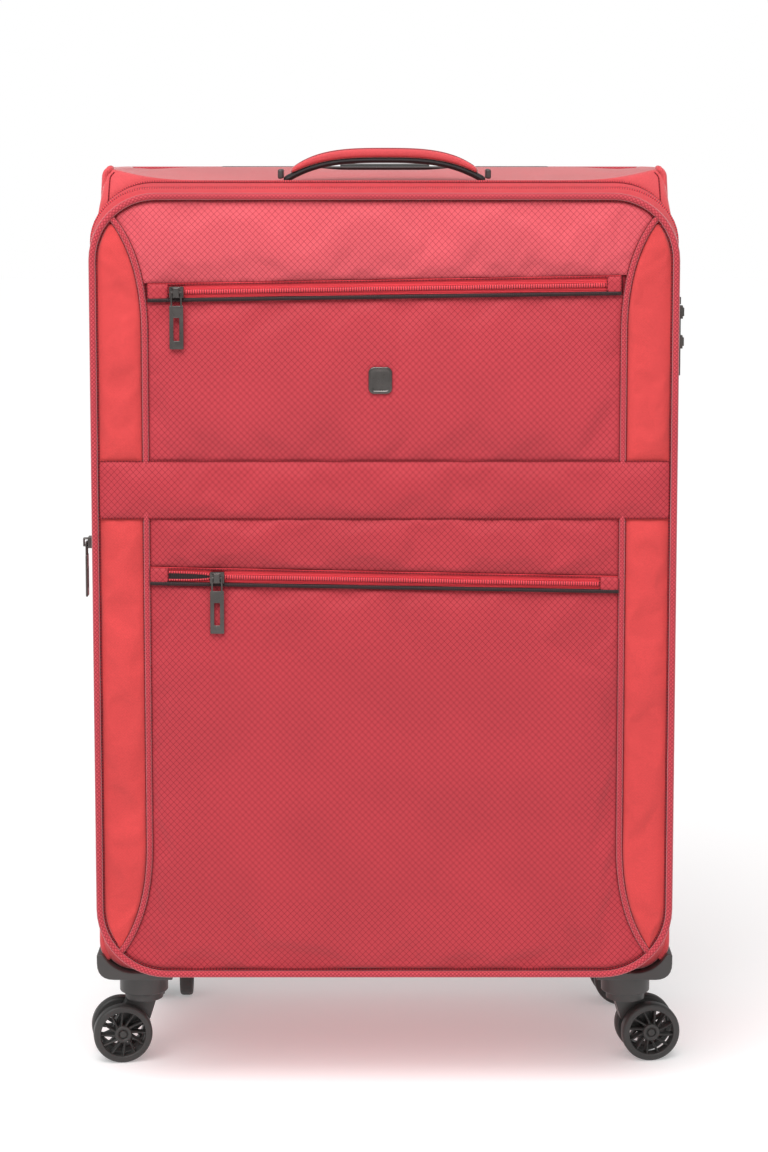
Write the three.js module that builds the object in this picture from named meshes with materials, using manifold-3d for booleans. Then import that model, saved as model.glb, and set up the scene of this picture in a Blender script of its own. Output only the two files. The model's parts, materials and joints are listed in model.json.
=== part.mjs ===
// Softside upright suitcase on four twin-wheel casters.
// Millimetres, +Z up, the front cover faces -Y, and the case stands on the plane z = 0.
import * as THREE from "three";
import { mergeVertices } from "three/addons/utils/BufferGeometryUtils.js";
import Module from "manifold-3d";

const wasm = await Module();
wasm.setup();

// ---------------------------------------------------------------- driving dimensions
const GAP = 0.3; // clearance kept between pieces that touch
const ARC_STEPS = 6; // facets per rounded corner

// outlines seen from the front: half width, lowest and highest z, corner radii
const BODY = { half: 250, low: 86, high: 785, lowRadius: 30, highRadius: 16 };
const FRAME = { half: 246, low: 98, high: 777, lowRadius: 54, highRadius: 50 };
const LID = { half: 245, low: 102, high: 768, lowRadius: 60, highRadius: 56 };

// depth stations along Y, from the front of the cover to the back of the case
const PAD_FRONT = -150;
const LID_FRONT = -143.5;
const LID_BACK = -121;
const FRAME_FRONT = -117;
const FRAME_BACK = -82;
const BODY_FRONT = -80;
const BODY_BACK = 146;
const BACK_FACE = 150;
const WALL = 5;
const FRAME_WALL = 4;
const SLEEVE_WALL = 2.5;
const SLEEVE_FRONT = -90;
const SLEEVE_BACK = -38;
const PIPING = 7;
const COIL = { inset: 1, width: 5 }; // the main zip, between the cover and the front gusset
const PIPING_PROUD = 2; // how far the rear piping stands out past the body's sides
const OVER = 1; // how far a cutting solid runs past the face it opens

const LID_SET_IN = 2; // the cover's side wall lies this far inside its piping

// front cover layout, z of each seam at the left and right ends of the centre field
const SEAM_X = 199;
const UPPER_ZIP = { low: [679, 685], high: [692, 699], from: -190, to: 184 };
const LOWER_ZIP = { low: [442, 435], high: [455, 447], from: -184, to: 180 };
const BAND = { low: 497, high: 545, back: -146 }; // the band lies over the side panels
const GORE_TIP = { x: 226, drop: 20 };
const GORE_CURVE = 96;
const GORE_PULL = 0.35; // share of the curve at which it leaves the straight seam's line
const GORE_FAR = 40; // how far past the cover's edge the side panel's shape is drawn
const COIL_DEPTH = 3; // thickness of a pocket zip
const BADGE = { half: 9.8, halfZ: 11.2, radius: 3.4, thick: 2.2, frame: 2.6, sunk: 1.2 };
const BADGE_PLACE = [-3.3, 0, 613];

// the top's middle sags towards the front, between the standing corners
const SAG = { half: 206, depth: 7, flat: -36, back: 40 };

// trolley handle
const TROLLEY_Y = 131;
const TUBE_X = 122;
const TUBE_OUTER = { x: 22, y: 14, wall: 1.2 };
const TUBE_INNER = { x: 18.6, y: 10.6, wall: 1.2, raised: 4 };
const TUBE_LOW = 96;
const GRIP = { half: 141, y: 21, low: 762, high: 787 };
const WELL = { half: 145, y: 25.6, low: 754, wall: 2, side: 1.4, proud: 2 };
const WELL_RIM = { x: 5, front: 3, back: 2 };
const WELL_SLOT = 14; // half depth of the opening in the body's top wall
const TROLLEY_BUTTON = { half: 41, y: 11, high: 789.5, depth: 6, travel: 4 };
const CHANNEL = { half: 150, low: 95, front: 12, wall: 3 }; // cover over the tubes inside

// carry handle on the top
const HANDLE_Y = -56;
const HANDLE_HALF = 84;
const HANDLE_WIDTH = 27;
const HANDLE_FLOOR = BODY.high - SAG.depth;
const HANDLE = { end: 780, top: 804, strap: 4.2, pad: 7.6 };
const STRAP_LEG = { x: 2.4, y: 20, low: 773.3 };
const STRAP_SLOT = { x: 2.8, y: 11, depth: 9 };
const PAD_TAPER = 0.35; // how much thinner the pad is at its ends
const END_CAP = { x: 4.4, y: 30, height: 8.5, out: 4.6 };

// casters
const WHEEL = {
  radius: 26,
  width: 12.5,
  twin: 27,
  trail: 20,
  rim: 19.5,
  hub: 7.5,
  chamfer: 3,
  recess: 1,
  spokes: 12,
  spoke: 1.9,
};
const HOUSING = { radius: 21.5, low: 61, bore: 6.3, boreDepth: 14, lap: 4 };
const GUARD = { low: 79, high: 102, half: 252.4, inner: 186, round: 15 };
const FORK = { stemLow: 50, capLow: 54, cap: 17, pin: 3, side: 0.8 };
const CASTERS = [
  { name: "front_left", x: -214, y: -46, turn: 189, guard: [-79.7, -16] },
  { name: "front_right", x: 214, y: -46, turn: 8, guard: [-79.7, -16] },
  { name: "rear_left", x: -202, y: 116, turn: 92, guard: [86, 155] },
  { name: "rear_right", x: 202, y: 116, turn: 6, guard: [86, 155] },
];

// ---------------------------------------------------------------- materials
function finish(color, roughness, metalness = 0) {
  return new THREE.MeshStandardMaterial({ color, roughness, metalness });
}
const LATTICE_RED = finish(0xc8414e, 0.75);
const CORAL = finish(0xe2504e, 0.8);
const ZIP_RED = finish(0xd2303f, 0.6);
const PIPING_RED = finish(0xb04350, 0.7);
const LINING = finish(0x55565a, 0.85);
const BOARD = finish(0x3a3a3c, 0.9);
const BLACK_WEBBING = finish(0x1d1c1e, 0.85);
const GREY_PLASTIC = finish(0x4a4a48, 0.5);
const TYRE = finish(0x3c3c3b, 0.6);
const GUNMETAL = finish(0x4c4b4a, 0.35, 0.9);
const ALUMINIUM = finish(0xa8aaad, 0.3, 1);

// ---------------------------------------------------------------- solids
function solid(geometry) {
  const bare = geometry.index ? geometry.toNonIndexed() : geometry.clone();
  bare.deleteAttribute("normal");
  bare.deleteAttribute("uv");
  const merged = mergeVertices(bare, 1e-4);
  return new wasm.Manifold(
    new wasm.Mesh({
      numProp: 3,
      vertProperties: merged.attributes.position.array,
      triVerts: new Uint32Array(merged.index.array),
    }),
  );
}

function geometryOf(manifold) {
  const mesh = manifold.getMesh();
  return new THREE.BufferGeometry()
    .setAttribute("position", new THREE.BufferAttribute(mesh.vertProperties, 3))
    .setIndex(new THREE.BufferAttribute(mesh.triVerts, 1));
}

const join = (first, ...rest) => rest.reduce((sum, piece) => sum.add(piece), first);
const cut = (first, ...rest) => rest.reduce((left, piece) => left.subtract(piece), first);

function part(name, shape, material, parent) {
  const geometry = shape.isBufferGeometry ? shape : geometryOf(shape);
  if (!shape.isBufferGeometry) geometry.computeVertexNormals();
  const mesh = new THREE.Mesh(geometry, material);
  mesh.name = name;
  parent.add(mesh);
  return mesh;
}

// a box from its lowest to its highest corner
function block(x0, x1, y0, y1, z0, z1) {
  const box = new THREE.BoxGeometry(x1 - x0, y1 - y0, z1 - z0);
  return solid(box.translate((x0 + x1) / 2, (y0 + y1) / 2, (z0 + z1) / 2));
}

// a rounded rectangle of the front view, drawn in x and z
function outline({ half, low, high, lowRadius, highRadius }) {
  const shape = new THREE.Shape();
  shape.absarc(half - lowRadius, low + lowRadius, lowRadius, -Math.PI / 2, 0);
  shape.absarc(half - highRadius, high - highRadius, highRadius, 0, Math.PI / 2);
  shape.absarc(highRadius - half, high - highRadius, highRadius, Math.PI / 2, Math.PI);
  shape.absarc(lowRadius - half, low + lowRadius, lowRadius, Math.PI, Math.PI * 1.5);
  return shape;
}

// the same outline, drawn in by a margin on every side
function inset({ half, low, high, lowRadius, highRadius }, margin) {
  return {
    half: half - margin,
    low: low + margin,
    high: high - margin,
    lowRadius: Math.max(lowRadius - margin, 2),
    highRadius: Math.max(highRadius - margin, 2),
  };
}

// a front-view shape given thickness from y = front to y = back
function slabGeometry(shape, front, back, bevel = 0) {
  const geometry = new THREE.ExtrudeGeometry(shape, {
    depth: back - front - 2 * bevel,
    curveSegments: ARC_STEPS,
    bevelEnabled: bevel > 0,
    bevelThickness: bevel,
    bevelSize: bevel,
    bevelOffset: -bevel,
    bevelSegments: 1,
  });
  return geometry.rotateX(Math.PI / 2).translate(0, back - bevel, 0);
}

const slab = (shape, front, back, bevel = 0) => solid(slabGeometry(shape, front, back, bevel));

// a wall that follows an outline, open at the front and the back
function ringWall(edge, thickness, front, back) {
  const inner = inset(edge, thickness);
  return cut(slab(outline(edge), front, back), slab(outline(inner), front - 1, back + 1));
}

function polygon(points) {
  return new THREE.Shape(points.map(([x, z]) => new THREE.Vector2(x, z)));
}

// a cylinder along z between two heights
function drum(x, y, z0, z1, radius, sides = 24) {
  const cylinder = new THREE.CylinderGeometry(radius, radius, z1 - z0, sides);
  return solid(cylinder.rotateX(Math.PI / 2).translate(x, y, (z0 + z1) / 2));
}

// a cylinder along y, centred on the given point
function axle(x, y, z, radius, length, sides = 20) {
  const cylinder = new THREE.CylinderGeometry(radius, radius, length, sides);
  return solid(cylinder.translate(x, y, z));
}

// ---------------------------------------------------------------- rear body
// the space above the sagging top, or that much lower
function sagSpace(drop) {
  const { half, depth, flat, back } = SAG;
  const top = BODY.high - drop;
  const profile = polygon([
    [BODY_FRONT - OVER, top - depth],
    [flat, top - depth],
    [back, top],
    [back, BODY.high + OVER],
    [BODY_FRONT - OVER, BODY.high + OVER],
  ]);
  const geometry = new THREE.ExtrudeGeometry(profile, { depth: 2 * half, bevelEnabled: false });
  const sideways = new THREE.Matrix4().makeBasis(
    new THREE.Vector3(0, 1, 0),
    new THREE.Vector3(0, 0, 1),
    new THREE.Vector3(1, 0, 0),
  );
  return solid(geometry.applyMatrix4(sideways).translate(-half, 0, 0));
}

function rearGusset() {
  const shell = cut(slab(outline(BODY), BODY_FRONT, BODY_BACK), sagSpace(0));
  const mouthEdge = inset(FRAME, FRAME_WALL - 1);
  const mouth = slab(outline(mouthEdge), BODY_FRONT - OVER, BODY_FRONT + WALL + OVER);
  const roomShape = outline(inset(BODY, WALL));
  const room = cut(slab(roomShape, BODY_FRONT + WALL, BODY_BACK + OVER), sagSpace(WALL));
  const well = block(
    -WELL.half - OVER,
    WELL.half + OVER,
    TROLLEY_Y - WELL_SLOT,
    TROLLEY_Y + WELL_SLOT,
    WELL.low,
    BODY.high + OVER,
  );
  const slots = [-HANDLE_HALF, HANDLE_HALF].map((x) => {
    const { x: halfX, y: halfY, depth } = STRAP_SLOT;
    const [front, back] = [HANDLE_Y - halfY, HANDLE_Y + halfY];
    return block(x - halfX, x + halfX, front, back, HANDLE_FLOOR - depth, BODY.high + OVER);
  });
  return cut(shell, mouth, room, well, ...slots);
}

function rearBody(parent) {
  part("rear_gusset", rearGusset(), LATTICE_RED, parent);
  const panel = inset(BODY, PIPING + GAP - PIPING_PROUD);
  const panelFront = BODY_BACK + GAP;
  part("back_panel", slab(outline(panel), panelFront, BACK_FACE), BOARD, parent);
  const pipingEdge = inset(BODY, -PIPING_PROUD);
  const piping = outline(pipingEdge);
  piping.holes.push(outline(inset(pipingEdge, PIPING)));
  const pipingBack = panelFront + PIPING - 1;
  part("rear_piping", slabGeometry(piping, panelFront, pipingBack, 1.8), PIPING_RED, parent);
}

// ---------------------------------------------------------------- trolley
function rectTube(x, size, low, high) {
  const halfX = size.x / 2;
  const halfY = size.y / 2;
  const wall = size.wall;
  const outer = block(x - halfX, x + halfX, TROLLEY_Y - halfY, TROLLEY_Y + halfY, low, high);
  const bore = block(
    x - halfX + wall,
    x + halfX - wall,
    TROLLEY_Y - halfY + wall,
    TROLLEY_Y + halfY - wall,
    low - OVER,
    high + OVER,
  );
  return cut(outer, bore);
}

function trolleyBezel() {
  const { half, y, low, wall, side, proud } = WELL;
  const top = BODY.high + proud;
  const depth = y / 2;
  const flange = block(
    -half - WELL_RIM.x,
    half + WELL_RIM.x,
    TROLLEY_Y - depth - WELL_RIM.front,
    TROLLEY_Y + depth + WELL_RIM.back,
    BODY.high + GAP,
    top,
  );
  const cup = block(
    -half - GAP,
    half + GAP,
    TROLLEY_Y - depth,
    TROLLEY_Y + depth,
    low,
    BODY.high + OVER,
  );
  const room = block(
    -half + wall,
    half - wall,
    TROLLEY_Y - depth + side,
    TROLLEY_Y + depth - side,
    low + wall,
    top + OVER,
  );
  const holes = [-TUBE_X, TUBE_X].map((x) => {
    const halfX = TUBE_INNER.x / 2 + GAP;
    const halfY = TUBE_INNER.y / 2 + GAP;
    const [front, back] = [TROLLEY_Y - halfY, TROLLEY_Y + halfY];
    return block(x - halfX, x + halfX, front, back, low - OVER, low + wall + OVER);
  });
  return cut(join(flange, cup), room, ...holes);
}

function trolleyCover() {
  const { half, low, wall } = CHANNEL;
  const front = TROLLEY_Y - CHANNEL.front;
  const outer = block(-half, half, front, BODY_BACK - GAP, low, WELL.low - GAP);
  const room = block(
    wall - half,
    half - wall,
    front + wall,
    BODY_BACK + OVER,
    low - OVER,
    WELL.low + OVER,
  );
  return cut(outer, room);
}

function trolley(fixed, sliding) {
  part("trolley_bezel", trolleyBezel(), GREY_PLASTIC, fixed);
  part("trolley_cover", trolleyCover(), LINING, fixed);
  for (const [side, x] of [["left", -TUBE_X], ["right", TUBE_X]]) {
    const outer = rectTube(x, TUBE_OUTER, TUBE_LOW, WELL.low - GAP);
    part("trolley_outer_tube_" + side, outer, ALUMINIUM, fixed);
    const inner = rectTube(x, TUBE_INNER, TUBE_LOW + TUBE_INNER.raised, GRIP.low - GAP);
    part("trolley_inner_tube_" + side, inner, ALUMINIUM, sliding);
  }
  const bar = new THREE.BoxGeometry(2 * GRIP.half, GRIP.y, GRIP.high - GRIP.low, 1, 1, 1);
  const grip = solid(bar.translate(0, TROLLEY_Y, (GRIP.low + GRIP.high) / 2));
  const { half, y, high, depth, travel } = TROLLEY_BUTTON;
  const pocket = block(
    -half - GAP,
    half + GAP,
    TROLLEY_Y - y / 2 - GAP,
    TROLLEY_Y + y / 2 + GAP,
    GRIP.high - depth - travel,
    GRIP.high + OVER,
  );
  part("trolley_grip", cut(grip, pocket), GREY_PLASTIC, sliding);
  const press = block(
    -half,
    half,
    TROLLEY_Y - y / 2,
    TROLLEY_Y + y / 2,
    GRIP.high - depth,
    high,
  );
  part("trolley_button", press, GREY_PLASTIC, sliding);
}

// ---------------------------------------------------------------- carry handle
// height of the strap's underside along the arch
function archHeight(x) {
  const share = Math.abs(x) / HANDLE_HALF;
  const underside = HANDLE.top - HANDLE.strap - HANDLE.pad;
  return HANDLE.end + (underside - HANDLE.end) * (1 - share ** 2.8);
}

function archLayer(offset, thickness, half, taper) {
  const stations = Array.from({ length: 17 }, (_, i) => -half + (half * i) / 8);
  const below = stations.map((x) => [x, archHeight(x) + offset]);
  const above = stations.map((x) => {
    const share = Math.abs(x) / half;
    return [x, archHeight(x) + offset + thickness * (1 - taper * share ** 4)];
  });
  return polygon([...below, ...above.reverse()]);
}

function carryHandle(fixed, handle) {
  const front = HANDLE_Y - HANDLE_WIDTH / 2;
  const back = HANDLE_Y + HANDLE_WIDTH / 2;
  const strap = slab(archLayer(0, HANDLE.strap, HANDLE_HALF - 1.2, 0), front + 2, back - 2);
  const legs = [-1, 1].map((side) => {
    const x = side * HANDLE_HALF;
    const { x: width, y, low } = STRAP_LEG;
    const top = HANDLE.end + HANDLE.strap;
    return block(x - width, x + width / 2, HANDLE_Y - y / 2, HANDLE_Y + y / 2, low, top);
  });
  const mirrored = legs.map((leg, i) => (i === 0 ? leg.translate([STRAP_LEG.x / 2, 0, 0]) : leg));
  part("top_handle_strap", join(strap, ...mirrored), BLACK_WEBBING, handle);
  const padShape = archLayer(HANDLE.strap + GAP, HANDLE.pad - GAP, HANDLE_HALF - 4, PAD_TAPER);
  part("top_handle_pad", slab(padShape, front, back), LATTICE_RED, handle);
  for (const [side, sign] of [["left", -1], ["right", 1]]) {
    const { x: width, y: depth, height, out } = END_CAP;
    const cap = new THREE.BoxGeometry(width, depth, height - GAP);
    const middleZ = HANDLE_FLOOR + (height + GAP) / 2;
    cap.translate(sign * (HANDLE_HALF + out), HANDLE_Y, middleZ);
    part("handle_end_cap_" + side, solid(cap), GREY_PLASTIC, fixed);
  }
}

// ---------------------------------------------------------------- expander and lock
const LOCK = { front: -113, back: -91, low: 614, high: 680, outer: 249.4, inner: 235 };
const LOCK_FLOOR = 4; // wall left behind the dials
const DIALS = [634, 641, 648]; // lowest z of each dial's slot
const DIAL = { radius: 5, width: 4.6, slot: 5.2, x: 244.6, bore: 1.5, pin: 1.2, end: 2 };
const LOCK_KEY = { low: 620, high: 628, y: 4, depth: 4.4, proud: 0.8, room: 7 };
const TAB_SLOT = { low: 662, high: 674, depth: 5, back: 2 };

function lockCase() {
  const { front, back, low, high, outer, inner } = LOCK;
  const middle = (front + back) / 2;
  const body = block(inner, outer, front, back, low, high);
  const dialReach = DIAL.radius + GAP;
  const dialSlots = DIALS.map((z) => {
    const [slotFront, slotBack] = [middle - dialReach, middle + dialReach];
    return block(inner + LOCK_FLOOR, outer + OVER, slotFront, slotBack, z, z + DIAL.slot);
  });
  const keyReach = LOCK_KEY.y + GAP;
  const keyHole = block(
    outer - LOCK_KEY.room,
    outer + OVER,
    middle - keyReach,
    middle + keyReach,
    LOCK_KEY.low - GAP,
    LOCK_KEY.high + GAP,
  );
  const tabSlot = block(
    outer - TAB_SLOT.depth,
    outer + OVER,
    front - OVER,
    middle + TAB_SLOT.back,
    TAB_SLOT.low,
    TAB_SLOT.high,
  );
  const pinTop = DIALS.at(-1) + DIAL.slot + DIAL.end;
  const spindle = drum(DIAL.x, middle, DIALS[0] - DIAL.end, pinTop, DIAL.pin, 10);
  return join(cut(body, keyHole, tabSlot, ...dialSlots), spindle);
}

function expander(frame, dials, button) {
  const lockHole = block(
    LOCK.inner,
    LOCK.outer,
    LOCK.front - GAP,
    LOCK.back + GAP,
    LOCK.low - GAP,
    LOCK.high + GAP,
  );
  const gusset = cut(ringWall(FRAME, FRAME_WALL, FRAME_FRONT, FRAME_BACK), lockHole);
  part("front_gusset", gusset, LATTICE_RED, frame);
  const sleeveEdge = inset(FRAME, FRAME_WALL + GAP);
  const sleeve = ringWall(sleeveEdge, SLEEVE_WALL, SLEEVE_FRONT, SLEEVE_BACK);
  part("expansion_sleeve", sleeve, LINING, frame);
  const coil = ringWall(inset(FRAME, COIL.inset), COIL.width, LID_BACK + GAP, FRAME_FRONT - GAP);
  part("main_zip_coil", coil, ZIP_RED, frame);
  part("lock_case", lockCase(), GREY_PLASTIC, frame);
  const middle = (LOCK.front + LOCK.back) / 2;
  DIALS.forEach((slotLow, i) => {
    const low = slotLow + GAP;
    const high = low + DIAL.width;
    const wheel = drum(DIAL.x, middle, low, high, DIAL.radius, 20);
    const bore = drum(DIAL.x, middle, low - OVER, high + OVER, DIAL.bore, 10);
    part("lock_dial_" + (i + 1), cut(wheel, bore), GUNMETAL, dials);
  });
  const { low, high, y, depth, proud } = LOCK_KEY;
  const key = block(LOCK.outer - depth, LOCK.outer + proud, middle - y, middle + y, low, high);
  part("lock_button", key, GUNMETAL, button);
}

// ---------------------------------------------------------------- front cover
function lidShell() {
  const edge = inset(LID, LID_SET_IN);
  const body = slab(outline(edge), LID_FRONT, LID_BACK);
  const room = slab(outline(inset(edge, FRAME_WALL)), LID_FRONT + FRAME_WALL, LID_BACK + OVER);
  return cut(body, room);
}

// a side panel: straight along the seam, curving out to the piping at both ends
function goreShape(side, grow = 0) {
  const shape = new THREE.Shape();
  const seam = side * (SEAM_X - grow);
  const far = side * (LID.half + GORE_FAR);
  const top = LID.high - GORE_TIP.drop + grow;
  const bottom = LID.low + GORE_TIP.drop - grow;
  const tip = side * (GORE_TIP.x - grow);
  shape.moveTo(seam, bottom + GORE_CURVE);
  shape.lineTo(seam, top - GORE_CURVE);
  shape.quadraticCurveTo(seam, top - GORE_CURVE * GORE_PULL, tip, top);
  shape.lineTo(far, top + GORE_TIP.drop);
  shape.lineTo(far, bottom - GORE_TIP.drop);
  shape.lineTo(tip, bottom);
  shape.quadraticCurveTo(seam, bottom + GORE_CURVE * GORE_PULL, seam, bottom + GORE_CURVE);
  return shape;
}

// height of a seam at x, from its heights at the left and right ends of the centre field
const lean = (ends, x) => ends[0] + ((ends[1] - ends[0]) * (x + SEAM_X)) / (2 * SEAM_X);

// the strip between two seams, from x = left to x = right
function seamStrip(low, high, left, right) {
  return polygon([
    [left, lean(low, left)],
    [right, lean(low, right)],
    [right, lean(high, right)],
    [left, lean(high, left)],
  ]);
}

// everything between two seams, across the whole cover
function seamBand(low, high, back = LID_FRONT) {
  return slab(seamStrip(low, high, -LID.half - OVER, LID.half + OVER), PAD_FRONT - OVER, back);
}

const level = (z) => [z, z];
const shift = (ends, by) => ends.map((z) => z + by);

function coverPanels(lid) {
  const padBack = LID_FRONT - GAP;
  const field = slab(outline(inset(LID, PIPING + GAP)), PAD_FRONT, padBack);
  const bandSpace = seamBand(level(BAND.low - GAP), level(BAND.high + GAP), BAND.back + GAP);
  for (const [side, sign] of [["left", -1], ["right", 1]]) {
    const gore = field.intersect(slab(goreShape(sign), PAD_FRONT - OVER, padBack + OVER));
    part("side_panel_" + side, cut(gore, bandSpace), CORAL, lid);
  }
  const openField = cut(
    field,
    slab(goreShape(-1, GAP), PAD_FRONT - OVER, padBack + OVER),
    slab(goreShape(1, GAP), PAD_FRONT - OVER, padBack + OVER),
  );
  const panels = [
    ["top_panel", shift(UPPER_ZIP.high, GAP), level(LID.high)],
    ["upper_pocket", level(BAND.high + GAP), shift(UPPER_ZIP.low, -GAP)],
    ["yoke_panel", shift(LOWER_ZIP.high, GAP), level(BAND.low - GAP)],
    ["lower_pocket", level(LID.low), shift(LOWER_ZIP.low, -GAP)],
  ];
  for (const [name, low, high] of panels) {
    part(name, openField.intersect(seamBand(low, high)), LATTICE_RED, lid);
  }
  const band = field.intersect(seamBand(level(BAND.low), level(BAND.high), BAND.back));
  part("middle_band", band, LATTICE_RED, lid);
}

function pocketZip(name, zip, lid) {
  const strip = seamStrip(zip.low, zip.high, zip.from, zip.to);
  part(name, slab(strip, LID_FRONT - COIL_DEPTH, LID_FRONT - GAP), ZIP_RED, lid);
}

function badge(lid) {
  const { half, halfZ, radius, thick, frame, sunk } = BADGE;
  const edge = { half, low: -halfZ, high: halfZ, lowRadius: radius, highRadius: radius };
  const plate = slab(outline(edge), PAD_FRONT - thick, PAD_FRONT - GAP);
  const window = slab(outline(inset(edge, frame)), PAD_FRONT - thick - OVER, PAD_FRONT - sunk);
  part("badge", cut(plate, window), GUNMETAL, lid).position.set(...BADGE_PLACE);
}

function cover(lid) {
  part("lid_shell", lidShell(), ZIP_RED, lid);
  const piping = outline(LID);
  piping.holes.push(outline(inset(LID, PIPING)));
  const front = LID_FRONT - GAP - PIPING;
  part("lid_piping", slabGeometry(piping, front, LID_FRONT - GAP, 2), PIPING_RED, lid);
  coverPanels(lid);
  pocketZip("upper_zip", UPPER_ZIP, lid);
  pocketZip("lower_zip", LOWER_ZIP, lid);
  badge(lid);
}

// ---------------------------------------------------------------- zip sliders
// The slider's own frame: origin on the zip's face at the slider's middle, front towards -Y.
const SLIDER = { x: 12, z: 9.5, depth: 5 };
const BAIL = { x: 2.5, out: 4.4, wire: 1.3, inset: 1, root: 0.5 };
const PULLER = { width: 11.6, length: 36, thick: 1.8, loop: 13, wire: 1.5, narrow: 1, lap: 2 };
const PULLER_SLOT = { side: 3.4, low: 7, high: 10 }; // margins around the plate's window
const PULLER_CLEARANCE = 0.9; // from the bail's inner face to the loop's bar
const ZIP_SLIDERS = [
  { name: "upper_zip", place: [-172, LID_FRONT - COIL_DEPTH, 686], turn: 0 },
  { name: "lower_zip", place: [-140, LID_FRONT - COIL_DEPTH, 447.3], turn: 0 },
  { name: "expansion_zip", place: [-BODY.half - GAP, -76, 467], turn: -Math.PI / 2 },
];
const MAIN_SLIDERS = [
  { name: "main_zip_slider_upper", z: 668 },
  { name: "main_zip_slider_lower", z: 643 },
];
const MAIN_HEAD = { x: 4, front: 5, back: 3.4, half: 5.5 };
const MAIN_TAB = { low: 3.8, high: 5.4, front: 2, reach: 13, half: 3.5 };

function sliderBody() {
  const { x, z, depth } = SLIDER;
  const body = block(-x / 2, x / 2, -depth, -GAP, -z / 2, z / 2);
  const front = -depth - BAIL.out;
  const reach = z / 2 - BAIL.inset;
  const bail = block(-BAIL.x, BAIL.x, front, BAIL.root - depth, -reach, reach);
  const eyeReach = reach - BAIL.wire;
  const eye = block(-BAIL.x - OVER, BAIL.x + OVER, front + BAIL.wire, -depth, -eyeReach, eyeReach);
  return cut(join(body, bail), eye);
}

// a wire loop through the slider's bail with a slotted plate hanging from it
function pullerBody() {
  const { width, length, thick, loop, wire, narrow, lap } = PULLER;
  const half = width / 2;
  const loopHalf = half - narrow;
  const front = -SLIDER.depth - BAIL.out + BAIL.wire + PULLER_CLEARANCE;
  const back = front + wire;
  const outer = block(-loopHalf, loopHalf, front, back, -loop, wire / 2);
  const inner = block(
    wire - loopHalf,
    loopHalf - wire,
    front - OVER,
    back + OVER,
    -loop - OVER,
    -wire / 2,
  );
  const top = lap - loop;
  const plate = block(-half, half, front, front + thick, top - length, top);
  const slot = block(
    PULLER_SLOT.side - half,
    half - PULLER_SLOT.side,
    front - OVER,
    front + thick + OVER,
    top - length + PULLER_SLOT.low,
    top - PULLER_SLOT.high,
  );
  return join(cut(outer, inner), cut(plate, slot));
}

function zipSlider(name, place, turn, parent) {
  const group = new THREE.Group();
  group.position.set(...place);
  group.rotation.z = turn;
  parent.add(group);
  part(name + "_slider", sliderBody(), GUNMETAL, group);
  part(name + "_puller", pullerBody(), GUNMETAL, group);
}

// the two sliders of the main zip have short flat tabs that lie back over the lock
function mainSlider(name, z, parent) {
  const x = FRAME.half;
  const zipY = (LID_BACK + FRAME_FRONT) / 2;
  const head = block(
    x + GAP,
    x + MAIN_HEAD.x,
    zipY - MAIN_HEAD.front,
    zipY + MAIN_HEAD.back,
    z - MAIN_HEAD.half,
    z + MAIN_HEAD.half,
  );
  const tab = block(
    x + MAIN_TAB.low,
    x + MAIN_TAB.high,
    zipY - MAIN_TAB.front,
    LOCK.front + MAIN_TAB.reach,
    z - MAIN_TAB.half,
    z + MAIN_TAB.half,
  );
  part(name, join(head, tab), GUNMETAL, parent);
}

// ---------------------------------------------------------------- casters
function cornerGuard({ x, y, guard }) {
  const side = Math.sign(x);
  const { low, high, half, inner, round } = GUARD;
  const profile = new THREE.Shape();
  profile.moveTo(side * inner, high);
  profile.lineTo(side * half, high);
  profile.lineTo(side * half, low + round);
  profile.quadraticCurveTo(side * half, low, side * (half - round), low);
  profile.lineTo(side * inner, low);
  const moulding = slab(profile, guard[0], guard[1]);
  const housing = drum(x, y, HOUSING.low, low + HOUSING.lap, HOUSING.radius, 32);
  const boreTop = HOUSING.low + HOUSING.boreDepth;
  const bore = drum(x, y, HOUSING.low - OVER, boreTop, HOUSING.bore, 16);
  const caseSpace = slab(outline(inset(BODY, -GAP)), PAD_FRONT, BODY_BACK + GAP);
  const pipingEdge = inset(BODY, -PIPING_PROUD - GAP);
  const pipingSpace = slab(outline(pipingEdge), BODY_BACK, BACK_FACE + PIPING);
  return cut(join(moulding, housing), bore, caseSpace, pipingSpace);
}

// fork and axle, in the caster's frame: swivel axis on z, trail along +x, axle along y
function fork() {
  const { trail, radius, twin, width } = WHEEL;
  const { stemLow, capLow, cap, pin, side } = FORK;
  const stemTop = HOUSING.low + HOUSING.boreDepth - 2;
  const stem = drum(0, 0, stemLow, stemTop, HOUSING.bore - GAP, 16);
  const disc = drum(0, 0, capLow, HOUSING.low - 2 * GAP, cap, 28);
  const web = polygon([
    [-11, 55],
    [15, 55],
    [trail + 8, radius + 4],
    [trail + 6, radius - 6],
    [trail - 6, radius - 6],
    [-5, 36],
  ]);
  const half = (twin - width) / 2 - side;
  const spindle = axle(trail, 0, radius, pin, twin + width - 2);
  return join(stem, disc, slab(web, -half, half), spindle);
}

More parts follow.
